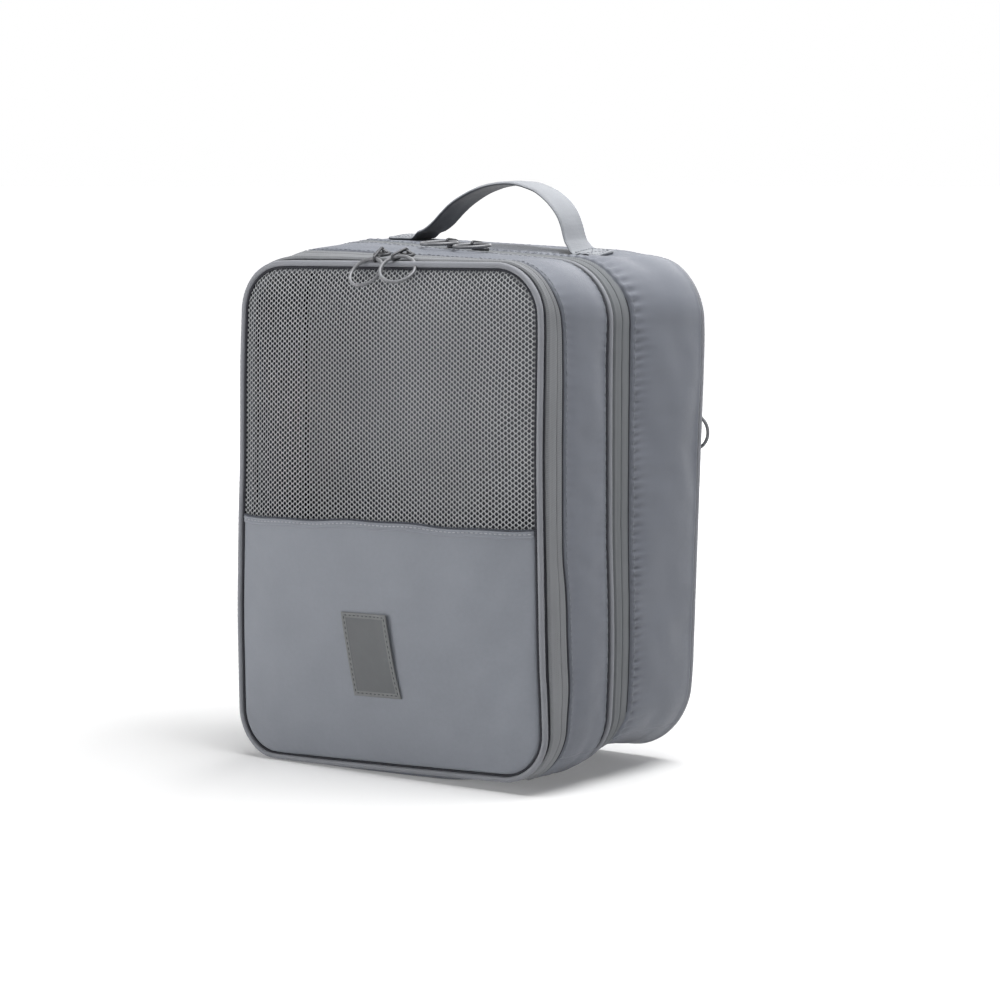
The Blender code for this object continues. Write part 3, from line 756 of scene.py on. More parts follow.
def over_tape(g):
    """Near the base the gusset's front edge folds forwards over the end of the zip."""
    z = g[:, :1, 2]
    s_ = smooth((46 - z) / 30)
    t = np.clip((ys[None, :] - ys[0]) / 26.0, 0, 1)
    g = g.copy()
    top_ = smooth((g[:, :1, 2] - 268) / 16) * smooth((g[:, :1, 0] - 40) / 25)
    g[..., 1] -= 11.5 * s_ * (1 - t) ** 1.6 + 4.0 * top_ * (1 - t) ** 1.6
    nx, nz = NX[WALL][:, None], NZ[WALL][:, None]
    up = (s_ * 2.6 + top_ * 1.5) * (1 - t) ** 1.2 * np.minimum((ys[None, :] - ys[0]) / 1.6 + 0.25, 1)
    g[..., 0] += nx * up
    g[..., 2] += nz * up * 0.4
    return g


rear_gusset = cloth("rear_gusset_cloth", over_tape(rear_gusset_grid), strip_uv(ys, WALL), [shaded_nylon_mat, lining_mat])
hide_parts("rear_gusset")
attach(rear_gusset, "rear_compartment")

ys_r = np.concatenate([[-15.6, -15.2, -14.6], np.linspace(-12.5, 2.5, 7), ys])
rear_base = cloth("rear_base_cloth", strip(ys_r, BASE, lambda y: base_out(y) + (rear_out(y) if y >= REAR_GUSSET[0] else -0.4) * (1 - LOW) + (rolled(y, -15.6, REAR_GUSSET[1], 1.2, 0.2) * LOW)), strip_uv(ys_r, BASE), [shaded_nylon_mat, lining_mat])
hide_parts("rear_base")
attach(rear_base, "rear_compartment")


# ---------------------------------------------------------------- pipings
def piping(name, y, r, inset):
    p = body(y, 0.0, inset, FLOOR + r)
    n = np.stack([NX, 0 * NX, NZ], -1)
    depth = np.tile([0.0, 1.0, 0.0], (N, 1))
    sides = 14
    ang = 2 * math.pi * np.arange(sides) / sides
    rad = r * (1 + 0.025 * waves(U[:, None] / 14, np.cos(ang)[None] * 0.4, 31) + 0.02 * np.sin(2 * math.pi * U[:, None] / 3.4))
    return tube(name, p, rad, [piping_mat], n, depth, sides, True, U)


front_piping = piping("front_piping_cord", Y_F, PIPE_R, 1.9)
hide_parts("front_piping")
lid_part(front_piping)
middle_piping = piping("middle_piping_cord", MID_PIPE_Y, MID_PIPE_R, 1.0)
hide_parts("middle_piping")
front_part(middle_piping)
back_piping = piping("back_piping_cord", Y_R, PIPE_R, 1.6)
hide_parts("back_piping")
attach(back_piping, "rear_compartment")


def seam_shadow_cord(name, y, r, inset, mover, whole=True):
    """A dark cord down in a seam: painted shade for the shadow line there."""
    p = body(y, 0.0, inset, FLOOR + r)
    n, depth = np.stack([NX, 0 * NX, NZ], -1), np.tile([0.0, 1.0, 0.0], (N, 1))
    if whole:
        o = tube(name, p, r, [seam_shadow_mat], n, depth, 8, True, U)
    else:
        o = tube(name, p[ZIP_RUN], r, [seam_shadow_mat], n[ZIP_RUN], depth[ZIP_RUN], 8, False, U[ZIP_RUN])
    return mover(o)


def rear_part(o):
    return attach(o, "rear_compartment")


seam_shadow_cord("front_seam_inner_shadow_cord", Y_F - 0.1, 0.95, 4.2, lid_part)
seam_shadow_cord("front_seam_outer_shadow_cord", Y_F + 2.0, 0.6, 1.5, lid_part)
seam_shadow_cord("front_zip_edge_shadow_cord", (FRONT_TAPE[1] + FRONT_GUSSET[0]) / 2, 1.0, 0.65, front_part, False)
seam_shadow_cord("middle_seam_front_shadow_cord", (FRONT_GUSSET[1] + MID_PIPE_Y - MID_PIPE_R) / 2, 1.4, 2.0, front_part)
seam_shadow_cord("middle_seam_rear_shadow_cord", MID_PIPE_Y + MID_PIPE_R + 0.35, 0.6, 1.2, front_part, False)
seam_shadow_cord("middle_zip_edge_shadow_cord", (MID_REAR_TAPE[1] + REAR_GUSSET[0]) / 2, 1.1, 1.5, rear_part, False)
seam_shadow_cord("back_seam_shadow_cord", Y_R - PIPE_R - 0.3, 0.7, 1.6, rear_part)


# ---------------------------------------------------------------- zips
def tape(name, y0, y1, join, crown, mat, lift=0.0):
    """A zip tape: a rounded lip where it is sewn, turned down a little where it meets the other one."""
    sewn = y0 if abs(y1 - join) < abs(y0 - join) else y1
    side = 1 if sewn == y0 else -1
    e = np.array([0.0, 0.35, 0.75, 1.2, 1.8])
    ys = np.unique(np.round(np.concatenate([sewn + side * e, np.linspace(sewn + side * 2.4, join + (y1 - join if sewn == y0 else y0 - join), 8)]), 3))

    def out(y):
        d, q = abs(y - join), abs(y - sewn)
        return (
            lift
            + crown * math.exp(-(((d - 2.2) / 3.0) ** 2))
            - 0.3 * math.exp(-((d / 0.4) ** 2))
            + 0.3 * math.exp(-(((q - 1.2) / 0.5) ** 2))
            - 0.9 * math.exp(-((q / 0.5) ** 2))
            + 0.12 * waves(U / 40, 0 * U + y / 30, 41)
        )

    return cloth(name, strip(ys, ZIP_RUN, out), strip_uv(ys, ZIP_RUN), [mat], 0.7)


def coil(name, y, depth):
    """A moulded coil under a tape's edge."""
    step = 0.45
    p = body(y, -depth)[WALL]
    n = np.stack([NX, 0 * NX, NZ], -1)[WALL]
    s = np.concatenate([[0], np.cumsum(np.linalg.norm(np.diff(p, axis=0), axis=1))])
    at = np.arange(0, s[-1], step)
    p, n = (np.stack([np.interp(at, s, a[:, k]) for k in range(3)], -1) for a in (p, n))
    n /= np.linalg.norm(n, axis=1)[:, None]
    sides = 6
    ang = 2 * math.pi * np.arange(sides) / sides
    rad = 0.62 + 0.24 * np.sin(2 * math.pi * at[:, None] / 1.8 + ang[None])
    return tube(name, p, rad, [coil_mat], n, np.tile([0.0, 1, 0], (len(p), 1)), sides, False, at)


ZIP_F, ZIP_M = -61.5, -4.5
lid_tape = tape("front_zip_lid_tape_cloth", *LID_TAPE, ZIP_F, 0.3, painted_light_tape_mat, 0.35)
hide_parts("front_zip_lid_tape")
lid_part(lid_tape)
front_tape = tape("front_zip_rear_tape_cloth", *FRONT_TAPE, ZIP_F, 0.3, painted_light_tape_mat, 0.35)
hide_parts("front_zip_rear_tape")
front_part(front_tape)
mid_front_tape = tape("middle_zip_front_tape_cloth", *MID_FRONT_TAPE, ZIP_M, 0.4, tape_mat)
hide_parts("middle_zip_front_tape")
front_part(mid_front_tape)
mid_rear_tape = tape("middle_zip_rear_tape_cloth", *MID_REAR_TAPE, ZIP_M, 0.4, tape_mat)
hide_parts("middle_zip_rear_tape")
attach(mid_rear_tape, "rear_compartment")

for name, node_name, y, mover in (
    ("front_zip_lid_coil_row", "front_zip_lid_coil", ZIP_F - 0.95, lid_part),
    ("front_zip_rear_coil_row", "front_zip_rear_coil", ZIP_F + 0.95, front_part),
    ("middle_zip_front_coil_row", "middle_zip_front_coil", ZIP_M - 0.95, front_part),
    ("middle_zip_rear_coil_row", "middle_zip_rear_coil", ZIP_M + 0.95, lambda o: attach(o, "rear_compartment")),
):
    c = coil(name, y, 1.4)
    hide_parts(node_name)
    mover(c)


# ---------------------------------------------------------------- front lid
FACE_IN, FACE_R = 4.7, 25.5
HEM_TOP = 147.3


def inside(x, z, inset, r):
    """How far a point of the face lies inside its outline."""
    hw, hh = W2 - inset, H / 2 - inset
    qx, qz = np.abs(x) - (hw - r), np.abs(z - H / 2) - (hh - r)
    return r - np.hypot(np.maximum(qx, 0), np.maximum(qz, 0)) - np.minimum(np.maximum(qx, qz), 0)


def face_y(x, z):
    """How far the lid's face stands in front of its seam."""
    d = np.maximum(inside(x, z, FACE_IN, FACE_R), 0)
    a, c = x / W2, (z - H / 2) / (H / 2)
    b = 1.5 * (1 - np.exp(-d / 1.5)) + 3.6 * (1 - np.exp(-d / 19.0)) + 1.9 * np.maximum(1 - a * a, 0) * np.maximum(1 - c * c, 0) ** 0.8
    b = b + 2.2 * np.exp(-(((x - 18) / 62) ** 2) - ((z - 66) / 46) ** 2)
    low = smooth((HEM_TOP + 4 - z) / 14)
    b = b + low * np.minimum(d / 25, 1) * (0.75 * waves(x / 95, z / 95, 61) + 0.22 * waves(x / 34, z / 34, 62))
    b = b + 0.16 * np.exp(-d / 4.0) * np.sin(2 * math.pi * (x + z) / 6.3 + 2 * waves(x / 60, z / 60, 63)) * np.minimum(d / 2, 1)
    b = b + (1 - low) * np.minimum(d / 20, 1) * 0.8 * waves(x / 120, z / 110, 64)
    return b + (REST["lid"](x, z) if "lid" in REST else 0)


def on_face(x, z, out=0.0):
    x, z = np.broadcast_arrays(np.asarray(x, float), np.asarray(z, float))
    X, Z = warp(x, z, SET[0])
    dx, _, dz = stray(x, z, Y_F)
    X, Z = X + dx, Z + dz
    Z = np.where(Z < 12, on_floor(Z, FLOOR + PIPE_R), Z)
    return np.stack([X, Y_F + 0.4 - face_y(x, z) - out, Z], -1)


def face_normal(x, z):
    e = 0.4
    dx = on_face(x + e, z) - on_face(x - e, z)
    dz = on_face(x, z + e) - on_face(x, z - e)
    n = np.cross(dx, dz)
    return n / np.linalg.norm(n, axis=-1)[..., None]


def hem_z(x):
    return HEM_TOP + 0.9 * np.sin(2 * math.pi * (x + 40) / 150) + 0.35 * np.sin(2 * math.pi * (x - 12) / 47)


def half_width(z):
    """Half the face's width at height z, inside its outline."""
    hw, hh = W2 - FACE_IN, H / 2 - FACE_IN
    q = np.maximum(np.abs(z - H / 2) - (hh - FACE_R), 0)
    return hw - FACE_R + np.sqrt(np.maximum(FACE_R**2 - np.minimum(q, FACE_R) ** 2, 0))


def panel_rest(name, point, half, outward, pressure, slack, cap, flip):
    """Settles one panel inside its seam."""
    nu, nv = 45, 61
    zs = np.linspace(FACE_IN, H - FACE_IN, nv)
    x = np.linspace(-1, 1, nu)[:, None] * half(zs)[None]
    move = settle(point(x, np.broadcast_to(zs[None], x.shape)), np.array([0, outward, 0]), pressure, slack, cap, flip)
    REST[name] = lambda x, z: move((x / half(z) + 1) / 2 * (nu - 1), (z - FACE_IN) / (H - 2 * FACE_IN) * (nv - 1))


panel_rest("lid", on_face, half_width, -1.0, 0.3, 0.001, 1.5, True)

nu, nv = 150, 104
a = np.linspace(-1, 1, nu)[:, None]
v = np.linspace(0, 1, nv)[None, :]
v = v ** 1.15 * 0.35 + v * 0.65
x0 = a * half_width(FACE_IN + v * (HEM_TOP - FACE_IN))
z0 = FACE_IN + v * (hem_z(x0) - FACE_IN)
x0 = a * half_width(z0)
# the top edge is folded back on itself
fold = np.stack([on_face(x0[:, -1], hem_z(x0[:, -1]) + dz, dy) for dz, dy in ((0.25, -0.55), (-0.3, -1.2), (-4.0, -1.5), (-7.5, -1.5))], 1)
grid = np.concatenate([on_face(x0, z0, 0.35), fold], 1)
uv = np.concatenate([np.stack([x0, z0], -1), np.stack([np.repeat(x0[:, -1:], 4, 1), np.repeat(z0[:, -1:], 4, 1) + np.array([0.8, 1.4, 5, 8.5])], -1)], 1)
lower_panel = cloth("lower_front_panel_cloth", grid, uv, [cloth_mat, lining_mat], 0.6, flip=True)
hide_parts("lower_front_panel")
lid_part(lower_panel)

# the hem's own stitched band
xs = np.linspace(-1, 1, 170)
hx = xs * half_width(np.array(HEM_TOP)) * 0.995
band = np.stack([on_face(hx, hem_z(hx) + dz, dy) for dz, dy in ((0.5, 0.0), (0.35, 0.85), (-0.3, 1.3), (-1.1, 1.2), (-1.7, 0.9), (-2.2, 0.85), (-2.8, 1.05), (-3.5, 0.85), (-3.9, 0.35))], 1)
hem = cloth("window_hem_band", band, np.stack(np.broadcast_arrays(hx[:, None], np.linspace(0, 4.4, 9)[None]), -1), [cloth_mat], 0.3, flip=False)
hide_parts("window_hem")
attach(hem, "front_lid")
# a dark cord along the hem's top edge: painted shade for the shadow line there
hem_line = on_face(hx, hem_z(hx) + 0.85, 0.75)
lid_part(tube("window_hem_shadow_cord", hem_line, 0.5, [hem_shadow_mat], None, None, 8))


# ---------------------------------------------------------------- net window
def net_window():
    """Knitted net: six-sided meshes with a rounded thread all round each."""
    px, pz = 4.0, 1.5
    hexa = np.array([(1.5625, 0), (0.4375, 1.5), (-0.4375, 1.5), (-1.5625, 0), (-0.4375, -1.5), (0.4375, -1.5)])
    hole = hexa * np.array([0.70, 0.70])
    hole[[1, 2, 4, 5], 0] *= 1.25
    index, pts, faces = {}, [], []

    def point(x, z, side):
        key = (round(x * 50), round(z * 50), side)
        if key not in index:
            index[key] = len(pts)
            pts.append((x, z, side))
        return index[key]

    rows = int((H - HEM_TOP) / pz) + 8
    for j in range(rows):
        z = HEM_TOP - 7.5 + j * pz
        for i in range(-28, 29):
            x = i * px + (px / 2 if j % 2 else 0)
            if inside(np.array(x), np.array(z), FACE_IN, FACE_R) < -0.4:
                continue
            rim = [[point(x + h[0], z + h[1], s) for h in hexa] for s in (1, -1)]
            inner = [point(x + h[0], z + h[1], 0) for h in hole]
            for k in range(6):
                q = (k + 1) % 6
                faces.append((rim[0][k], rim[0][q], inner[q], inner[k]))
                faces.append((rim[1][q], rim[1][k], inner[k], inner[q]))
    p = np.array(pts)
    return on_face(p[:, 0], p[:, 1], 0.0) - np.array([0, 1, 0]) * (p[:, 2:3] * 0.3 - 0.1), faces, p[:, :2]


nv_, nf_, nuv_ = net_window()
net = mesh_object("net_window_mesh", nv_, nf_, nuv_, [net_mat])
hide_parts("net_window")
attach(net, "front_lid")

# ---------------------------------------------------------------- label patch
PATCH_W, PATCH_H, PATCH_X, PATCH_Z, LEAN = 34.0, 49.2, -5.8, 69.9, 0.175


def patch_point(a, b):
    """a across, b up, in the patch's own plane."""
    return PATCH_X + a - b * LEAN, PATCH_Z + b + 0.004 * a


def patch_lift(a, b, e):
    """A raised border with a sewn groove; the right edge stands off the cloth a little."""
    edge = 1.15 - 0.4 * np.exp(-((e / 0.5) ** 2)) - 0.3 * np.exp(-(((e - 1.75) / 0.45) ** 2)) - 0.3 * smooth((e - 2.7) / 0.5)
    return edge + 1.1 * smooth((a - 6) / 11) * smooth((b + 30) / 45)


def patch_piece():
    n, m = 70, 98
    a = np.linspace(-PATCH_W / 2, PATCH_W / 2, n)[:, None]
    b = np.linspace(-PATCH_H / 2, PATCH_H / 2, m)[None, :]
    a, b = np.broadcast_arrays(a, b)
    e = np.minimum(PATCH_W / 2 - np.abs(a), PATCH_H / 2 - np.abs(b))
    x, z = patch_point(a, b)
    lift = patch_lift(a, b, e)
    grid = on_face(x, z, lift + 0.4)
    o = cloth("label_patch_sheet", grid, np.stack([a, b], -1), [patch_mat, patch_mat, patch_edge_mat], 1.0, flip=True, inner=0)
    mid = 0.25 * (e[:-1, :-1] + e[1:, :-1] + e[:-1, 1:] + e[1:, 1:])
    o.data.polygons.foreach_set("material_index", np.where(mid.ravel() < 2.9, 2, 0).astype(np.int32))
    return o


patch = patch_piece()
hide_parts("label_patch")
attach(patch, "front_lid")


# ---------------------------------------------------------------- back panel and pocket zip
BACK_IN, BACK_R = 2.7, 36.6


def back_y(x, z):
    d = np.maximum(inside(x, z, BACK_IN, BACK_R), 0)
    a, c = x / W2, (z - H / 2) / (H / 2)
    b = 1.6 * (1 - np.exp(-d / 8.0)) + 2.4 * np.maximum(1 - a * a, 0) * np.maximum(1 - c * c, 0)
    b = b + np.minimum(d / 25, 1) * (0.8 * waves(x / 100, z / 110, 71) + 0.25 * waves(x / 36, z / 36, 72))
    b = b + 0.2 * np.exp(-d / 4.0) * np.sin(2 * math.pi * (x - z) / 6.1 + 2 * waves(x / 60, z / 60, 73)) * np.minimum(d / 2, 1)
    return b + (REST["back"](x, z) if "back" in REST else 0)


def on_back(x, z, out=0.0):
    x, z = np.broadcast_arrays(np.asarray(x, float), np.asarray(z, float))
    z = z + 0.00875 * (x - 96) * np.exp(-(((z - 213) / 45) ** 2))  # the pocket's zip lies nearly level
    X, Z = warp(x, z, SET[2])
    dx, _, dz = stray(x, z, Y_R)
    X, Z = X + dx, Z + dz
    Z = on_floor(Z + belly(Y_R) * np.clip(1 - (z - 1.6) / RAD[2], 0, 1) ** 2, FLOOR + PIPE_R)
    return np.stack([X, Y_R - 0.4 + back_y(x, z) + out, Z], -1)


def half_width_back(z):
    hw, hh, r = W2 - BACK_IN, H / 2 - BACK_IN, BACK_R
    q = np.maximum(np.abs(z - H / 2) - (hh - r), 0)
    return hw - r + np.sqrt(np.maximum(r**2 - np.minimum(q, r) ** 2, 0))


panel_rest("back", on_back, half_width_back, 1.0, 0.3, 0.0015, 1.8, False)

POCKET_Z, POCKET_HALF = 213.0, 102.0
zz = np.concatenate([np.linspace(BACK_IN, POCKET_Z - 6, 80), np.linspace(POCKET_Z + 6, H - BACK_IN, 40)])
groove = np.concatenate([np.full(79, 0.0), [0.7, 0.7], np.full(39, 0.0)])
zz2 = np.concatenate([zz[:80], [POCKET_Z - 4.6, POCKET_Z + 4.6], zz[80:]])
drop = np.concatenate([np.zeros(80), [-1.0, -1.0], np.zeros(40)])
a = np.linspace(-1, 1, 130)[:, None]
X0 = a * half_width_back(zz2)[None]
Z0 = np.broadcast_to(zz2[None], X0.shape)
D0 = np.broadcast_to(drop[None], X0.shape)
back_panel = cloth("back_panel_cloth", on_back(X0, Z0, D0), np.stack([X0, Z0], -1), [cloth_mat, lining_mat], 1.0, flip=False)
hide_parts("back_panel")
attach(back_panel, "rear_compartment")

# the pocket's lining hangs inside, sewn along the zip and round its edge
lx, lz = np.linspace(-102.6, 102.6, 90)[:, None], np.linspace(92, 227, 62)[None]
lx, lz = np.broadcast_arrays(lx, lz)
le = np.minimum(np.minimum(102.6 - np.abs(lx), lz - 92), 227 - lz)
hang = -3.1 - np.minimum(le / 14, 1) * (1.1 + 0.7 * waves(lx / 70, lz / 80, 75) + 0.25 * waves(lx / 24, lz / 28, 76))
pocket_lining = cloth("pocket_lining_cloth", on_back(lx, lz, hang), np.stack([lx, lz], -1), [lining_mat], 0.4, flip=False)
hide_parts("pocket_lining")
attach(pocket_lining, "rear_compartment")


def back_strip(name, node_name, z0, z1, outs, mat, half=POCKET_HALF):
    xs = np.linspace(-half, half, 150)
    zs = np.linspace(z0, z1, len(outs))
    X, Z = np.broadcast_arrays(xs[:, None], zs[None])
    o = cloth(name, on_back(X, Z, np.broadcast_to(np.array(outs)[None], X.shape)), np.stack([X, Z], -1), [mat], 0.5, flip=False)
    if node_name:
        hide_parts(node_name)
    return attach(o, "rear_compartment")


back_strip("pocket_zip_upper_tape_cloth", "pocket_zip_upper_tape", POCKET_Z + 0.25, POCKET_Z + 6.0, (-0.2, 0.25, 0.3, 0.2, 0.1), tape_mat)
back_strip("pocket_zip_lower_tape_cloth", "pocket_zip_lower_tape", POCKET_Z - 6.0, POCKET_Z - 0.25, (0.1, 0.2, 0.3, 0.25, -0.2), tape_mat)
back_strip("pocket_welt_upper", None, POCKET_Z + 3.4, POCKET_Z + 9.5, (0.3, 1.2, 1.3, 0.7, 0.25), cloth_mat, POCKET_HALF + 2.5)
back_strip("pocket_welt_lower", None, POCKET_Z - 9.5, POCKET_Z - 3.4, (0.25, 0.7, 1.3, 1.2, 0.3), cloth_mat, POCKET_HALF + 2.5)
pc = np.linspace(-POCKET_HALF, POCKET_HALF, 420)
pp = on_back(pc, np.full(420, POCKET_Z), -0.9)
ang = 2 * math.pi * np.arange(6) / 6
pocket_coil = tube("pocket_zip_coil_row", pp, 0.7 + 0.25 * np.sin(2 * math.pi * pc[:, None] / 1.8 + ang[None]), [coil_mat], np.tile([0.0, 0, 1], (420, 1)), np.tile([0.0, 1, 0], (420, 1)), 6, False, pc - pc[0])
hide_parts("pocket_zip_coil")
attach(pocket_coil, "rear_compartment")

# ---------------------------------------------------------------- divider and seam bindings
nu, nv = 90, 120
vz = np.linspace(5, H - 5, nv)[None]
hw = W2 - 5
q = np.maximum(np.abs(vz - H / 2) - (H / 2 - 5 - 32), 0)
wz = hw - 32 + np.sqrt(np.maximum(32**2 - np.minimum(q, 32) ** 2, 0))
X0 = np.linspace(-1, 1, nu)[:, None] * wz
Z0 = np.broadcast_to(vz, X0.shape)
Xw, Zw = warp(X0, Z0, SET[1])
dx_, _, dz_ = stray(X0, Z0, Y_M)
Xw, Zw = Xw + dx_, Zw + dz_
Zw = np.where(Zw < 12, on_floor(Zw, 3.0), Zw)
slack = np.maximum(1 - (X0 / 106) ** 2, 0) * np.maximum(1 - ((Z0 - 150) / 146) ** 2, 0)
Yd = -15.5 + slack * (3.0 * waves(X0 / 150, Z0 / 170, 81) + 0.7 * waves(X0 / 50, Z0 / 60, 82))
flat_ = np.stack([Xw, Yd, Zw], -1)
move = settle(flat_[::2][:, ::2], np.array([0, 1.0, 0]), 0.0, 0.003, 2.2, True)
Yd = Yd + move(np.arange(nu)[:, None] / 2, np.arange(nv)[None] / 2) * np.minimum(slack * 8, 1)
divider = cloth("divider_panel_cloth", np.stack([Xw, Yd, Zw], -1), np.stack([X0, Z0], -1), [lining_mat], 0.8, flip=True)
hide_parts("divider_panel")
front_part(divider)


def binding(name, node_name, y, inset, mover):
    p = body(y, 0.0, inset, FLOOR + 3.2)
    n = np.stack([NX, 0 * NX, NZ], -1)
    sides = 10
    ang = 2 * math.pi * np.arange(sides) / sides
    rad = np.tile(1.0 / np.sqrt((np.cos(ang) / 2.9) ** 2 + (np.sin(ang) / 0.95) ** 2), (N, 1))
    o = tube(name, p, rad, [binding_mat], n, np.tile([0.0, 1, 0], (N, 1)), sides, True, U)
    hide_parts(node_name)
    mover(o)


binding("front_seam_binding_tape", "front_seam_binding", Y_F + 2.6, 6.2, lid_part)
binding("middle_seam_binding_tape", "middle_seam_binding", Y_M + 0.2, 6.6, front_part)
binding("back_seam_binding_tape", "back_seam_binding", Y_R - 3.0, 6.4, lambda o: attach(o, "rear_compartment"))


# ---------------------------------------------------------------- strap handle
# centre line of the webbing, x and z, from the left sewn end to the right one
STRAP_Y, STRAP_W, STRAP_T = 34.0, 23.5, 1.9
STRAP = np.array(
    [(-75, 309.2), (-71.5, 309.1), (-68, 309.0), (-61, 308.9), (-55, 309.2), (-49.3, 310.6), (-42.8, 314.6), (-35.7, 320.9), (-29.6, 325.7), (-22.7, 329.7), (-15.3, 333.3),
     (-7.5, 335.9), (0.2, 337.6), (7, 338.4), (14, 338.6), (20, 338.0), (24.8, 336.8), (32.7, 334.0), (39.6, 329.6), (44.2, 325.5), (48.2, 320.4), (51.0, 314.4),
     (52.8, 308.6), (54.6, 304.6), (58.0, 302.9), (63, 302.0), (68, 300.9), (73, 299.7)]
)


def curve_through(p, step):
    """Catmull-Rom through the points, evenly spaced."""
    p = np.vstack([2 * p[0] - p[1], p, 2 * p[-1] - p[-2]])
    out = []
    for a, b, c, d in zip(p[:-3], p[1:-2], p[2:-1], p[3:]):
        t = np.linspace(0, 1, 24, endpoint=False)[:, None]
        out.append(0.5 * (2 * b + (c - a) * t + (2 * a - 5 * b + 4 * c - d) * t**2 + (-a + 3 * b - 3 * c + d) * t**3))
    out = np.vstack(out + [p[-2:-1]])
    s = np.concatenate([[0], np.cumsum(np.linalg.norm(np.diff(out, axis=0), axis=1))])
    at = np.linspace(0, s[-1], int(s[-1] / step))
    return np.stack([np.interp(at, s, out[:, k]) for k in range(out.shape[1])], -1), at


def top_z(x, y):
    """Height of the top cloth at a point."""
    p = body(y, rear_out(y))
    m = (NZ > 0.05)
    o = np.argsort(p[m, 0])
    return np.interp(x, p[m, 0][o], p[m, 2][o])


def strap():
    line, at = curve_through(STRAP, 1.2)
    n = len(line)
    across = np.linspace(-1, 1, 25)
    t = np.gradient(line, axis=0)
    t /= np.linalg.norm(t, axis=1)[:, None]
    nx, nz = -t[:, 1], t[:, 0]
    top, under = [], []
    x = line[:, 0]
    ground = np.stack([top_z(x, STRAP_Y + f * STRAP_W / 2) for f in across], 1)
    sewn = smooth((np.abs(x - 1.0) - 53.5) / 6.0)
    for k, f in enumerate(across):
        # the sewn ends lie on the cloth; the front edge of the right one stands off it
        lie = ground[:, k] + STRAP_T / 2 + 0.15 + 1.3 * smooth((-f - 0.35) / 0.65) * smooth((x - 60) / 6) * smooth((75 - x) / 5)
        cz = line[:, 1] * (1 - sewn) + lie * sewn
        cz = np.maximum(cz, ground[:, k] + STRAP_T / 2 + 0.1)
        free = 1 - sewn
        edge = max(0.0, (abs(f) - 0.9) / 0.1)
        half = STRAP_T / 2 * math.sqrt(max(1 - edge**2, 0.02))
        cup = 0.45 * f * f * free
        ripple = 0.22 * waves(at / 22, 0 * at + f * 0.5, 91)
        # a slight waist above the right foot, where the webbing is folded before it is sewn
        pinch = 1 - 0.05 * np.exp(-(((x - 51) / 4) ** 2))
        y = STRAP_Y + f * STRAP_W / 2 * pinch
        cz = cz - cup + ripple * free
        top.append(np.stack([x + nx * half, y, cz + nz * half], -1))
        under.append(np.stack([x - nx * half, y, cz - nz * half], -1))
    ring = np.concatenate([np.stack(top, 1), np.stack(under, 1)[:, ::-1]], 1)
    m = ring.shape[1]
    faces, which = [], []
    for k in range(n - 1):
        for a_ in range(m):
            b_ = (a_ + 1) % m
            faces.append((k * m + a_, k * m + b_, (k + 1) * m + b_, (k + 1) * m + a_))
            # faces of the underside take the darker webbing: painted shade
            which.append(1 if m // 2 <= a_ < m - 1 else 0)
    faces.append(tuple(range(m)))
    faces.append(tuple((n - 1) * m + a_ for a_ in reversed(range(m))))
    vv = np.concatenate([across, across[::-1]]) * STRAP_W / 2
    uv = np.stack(np.broadcast_arrays(at[:, None], vv[None]), -1)
    o = mesh_object("handle_strap_webbing", ring.reshape(-1, 3), faces, uv.reshape(-1, 2), [web_mat, web_shaded_under_mat], which + [0, 0])
    fix_normals(o)
    return o, line, at, np.stack(top, 1)


strap_obj, strap_line, strap_at, strap_top = strap()
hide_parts("handle_strap", "handle_left_tab", "handle_right_tab")
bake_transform(strap_obj)


# ---------------------------------------------------------------- sliders and pulls
RING_R, RING_WIRE = 10.2, 1.0


def unit(v_):
    v_ = np.asarray(v_, float)
    return v_ / np.linalg.norm(v_)


def pull_piece(name, bridge, centre, dip, swing, facing="up", yaw=0.0):
    """A wire ring held by a long link that hooks over the slider's bridge.

    dip is how far the ring hangs below level, swing how far it lies to one side of its link.
    """
    dip, swing = math.radians(dip), math.radians(swing)
    down = np.array([0, -math.cos(dip), -math.sin(dip)]) if facing == "up" else np.array([0, math.sin(dip), -math.cos(dip)])
    side = np.array([1.0, 0, 0])
    c_, s_ = math.cos(math.radians(yaw)), math.sin(math.radians(yaw))
    turn = np.array([(c_, -s_, 0), (s_, c_, 0), (0, 0, 1.0)])
    down, side = turn @ down, turn @ side
    along = down * math.cos(swing) + side * math.sin(swing)
    cross = unit(np.cross(along, np.cross(down, side)))
    centre, bridge = np.asarray(centre, float), np.asarray(bridge, float)
    k = 2 * math.pi * np.arange(96) / 96
    radial = np.cos(k)[:, None] * along + np.sin(k)[:, None] * cross
    axis = np.tile(np.cross(along, cross), (96, 1))
    ring = tube(name + "_ring_wire", centre + RING_R * radial, RING_WIRE, [metal_mat], radial, axis, 16, True)
    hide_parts(name + "_ring")
    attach(ring, name)
    # the link: a flat oval of wire from under the bridge to round the ring's wire
    near = centre - RING_R * along
    run = unit(near - bridge)
    lift = unit(np.cross(run, unit(np.cross(run, [0, 0, 1.0] if facing == "up" else [0, 1.0, 0]))))
    lift = lift if (lift[2] if facing == "up" else lift[1]) > 0 else -lift
    r, wire = 1.6, 0.75
    pts = []
    for c_, a0 in ((near, -90), (bridge, 90)):
        for q_ in range(13):
            g = math.radians(a0 + 180 * q_ / 12)
            pts.append(c_ + run * math.cos(g) * r + lift * math.sin(g) * r)
    path = resample(np.array(pts + pts[:1]), 0.6)[0]
    link_o = tube(name + "_link_wire", path, wire, [slider_mat], None, None, 10, True)
    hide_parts(name + "_link")
    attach(link_o, name)


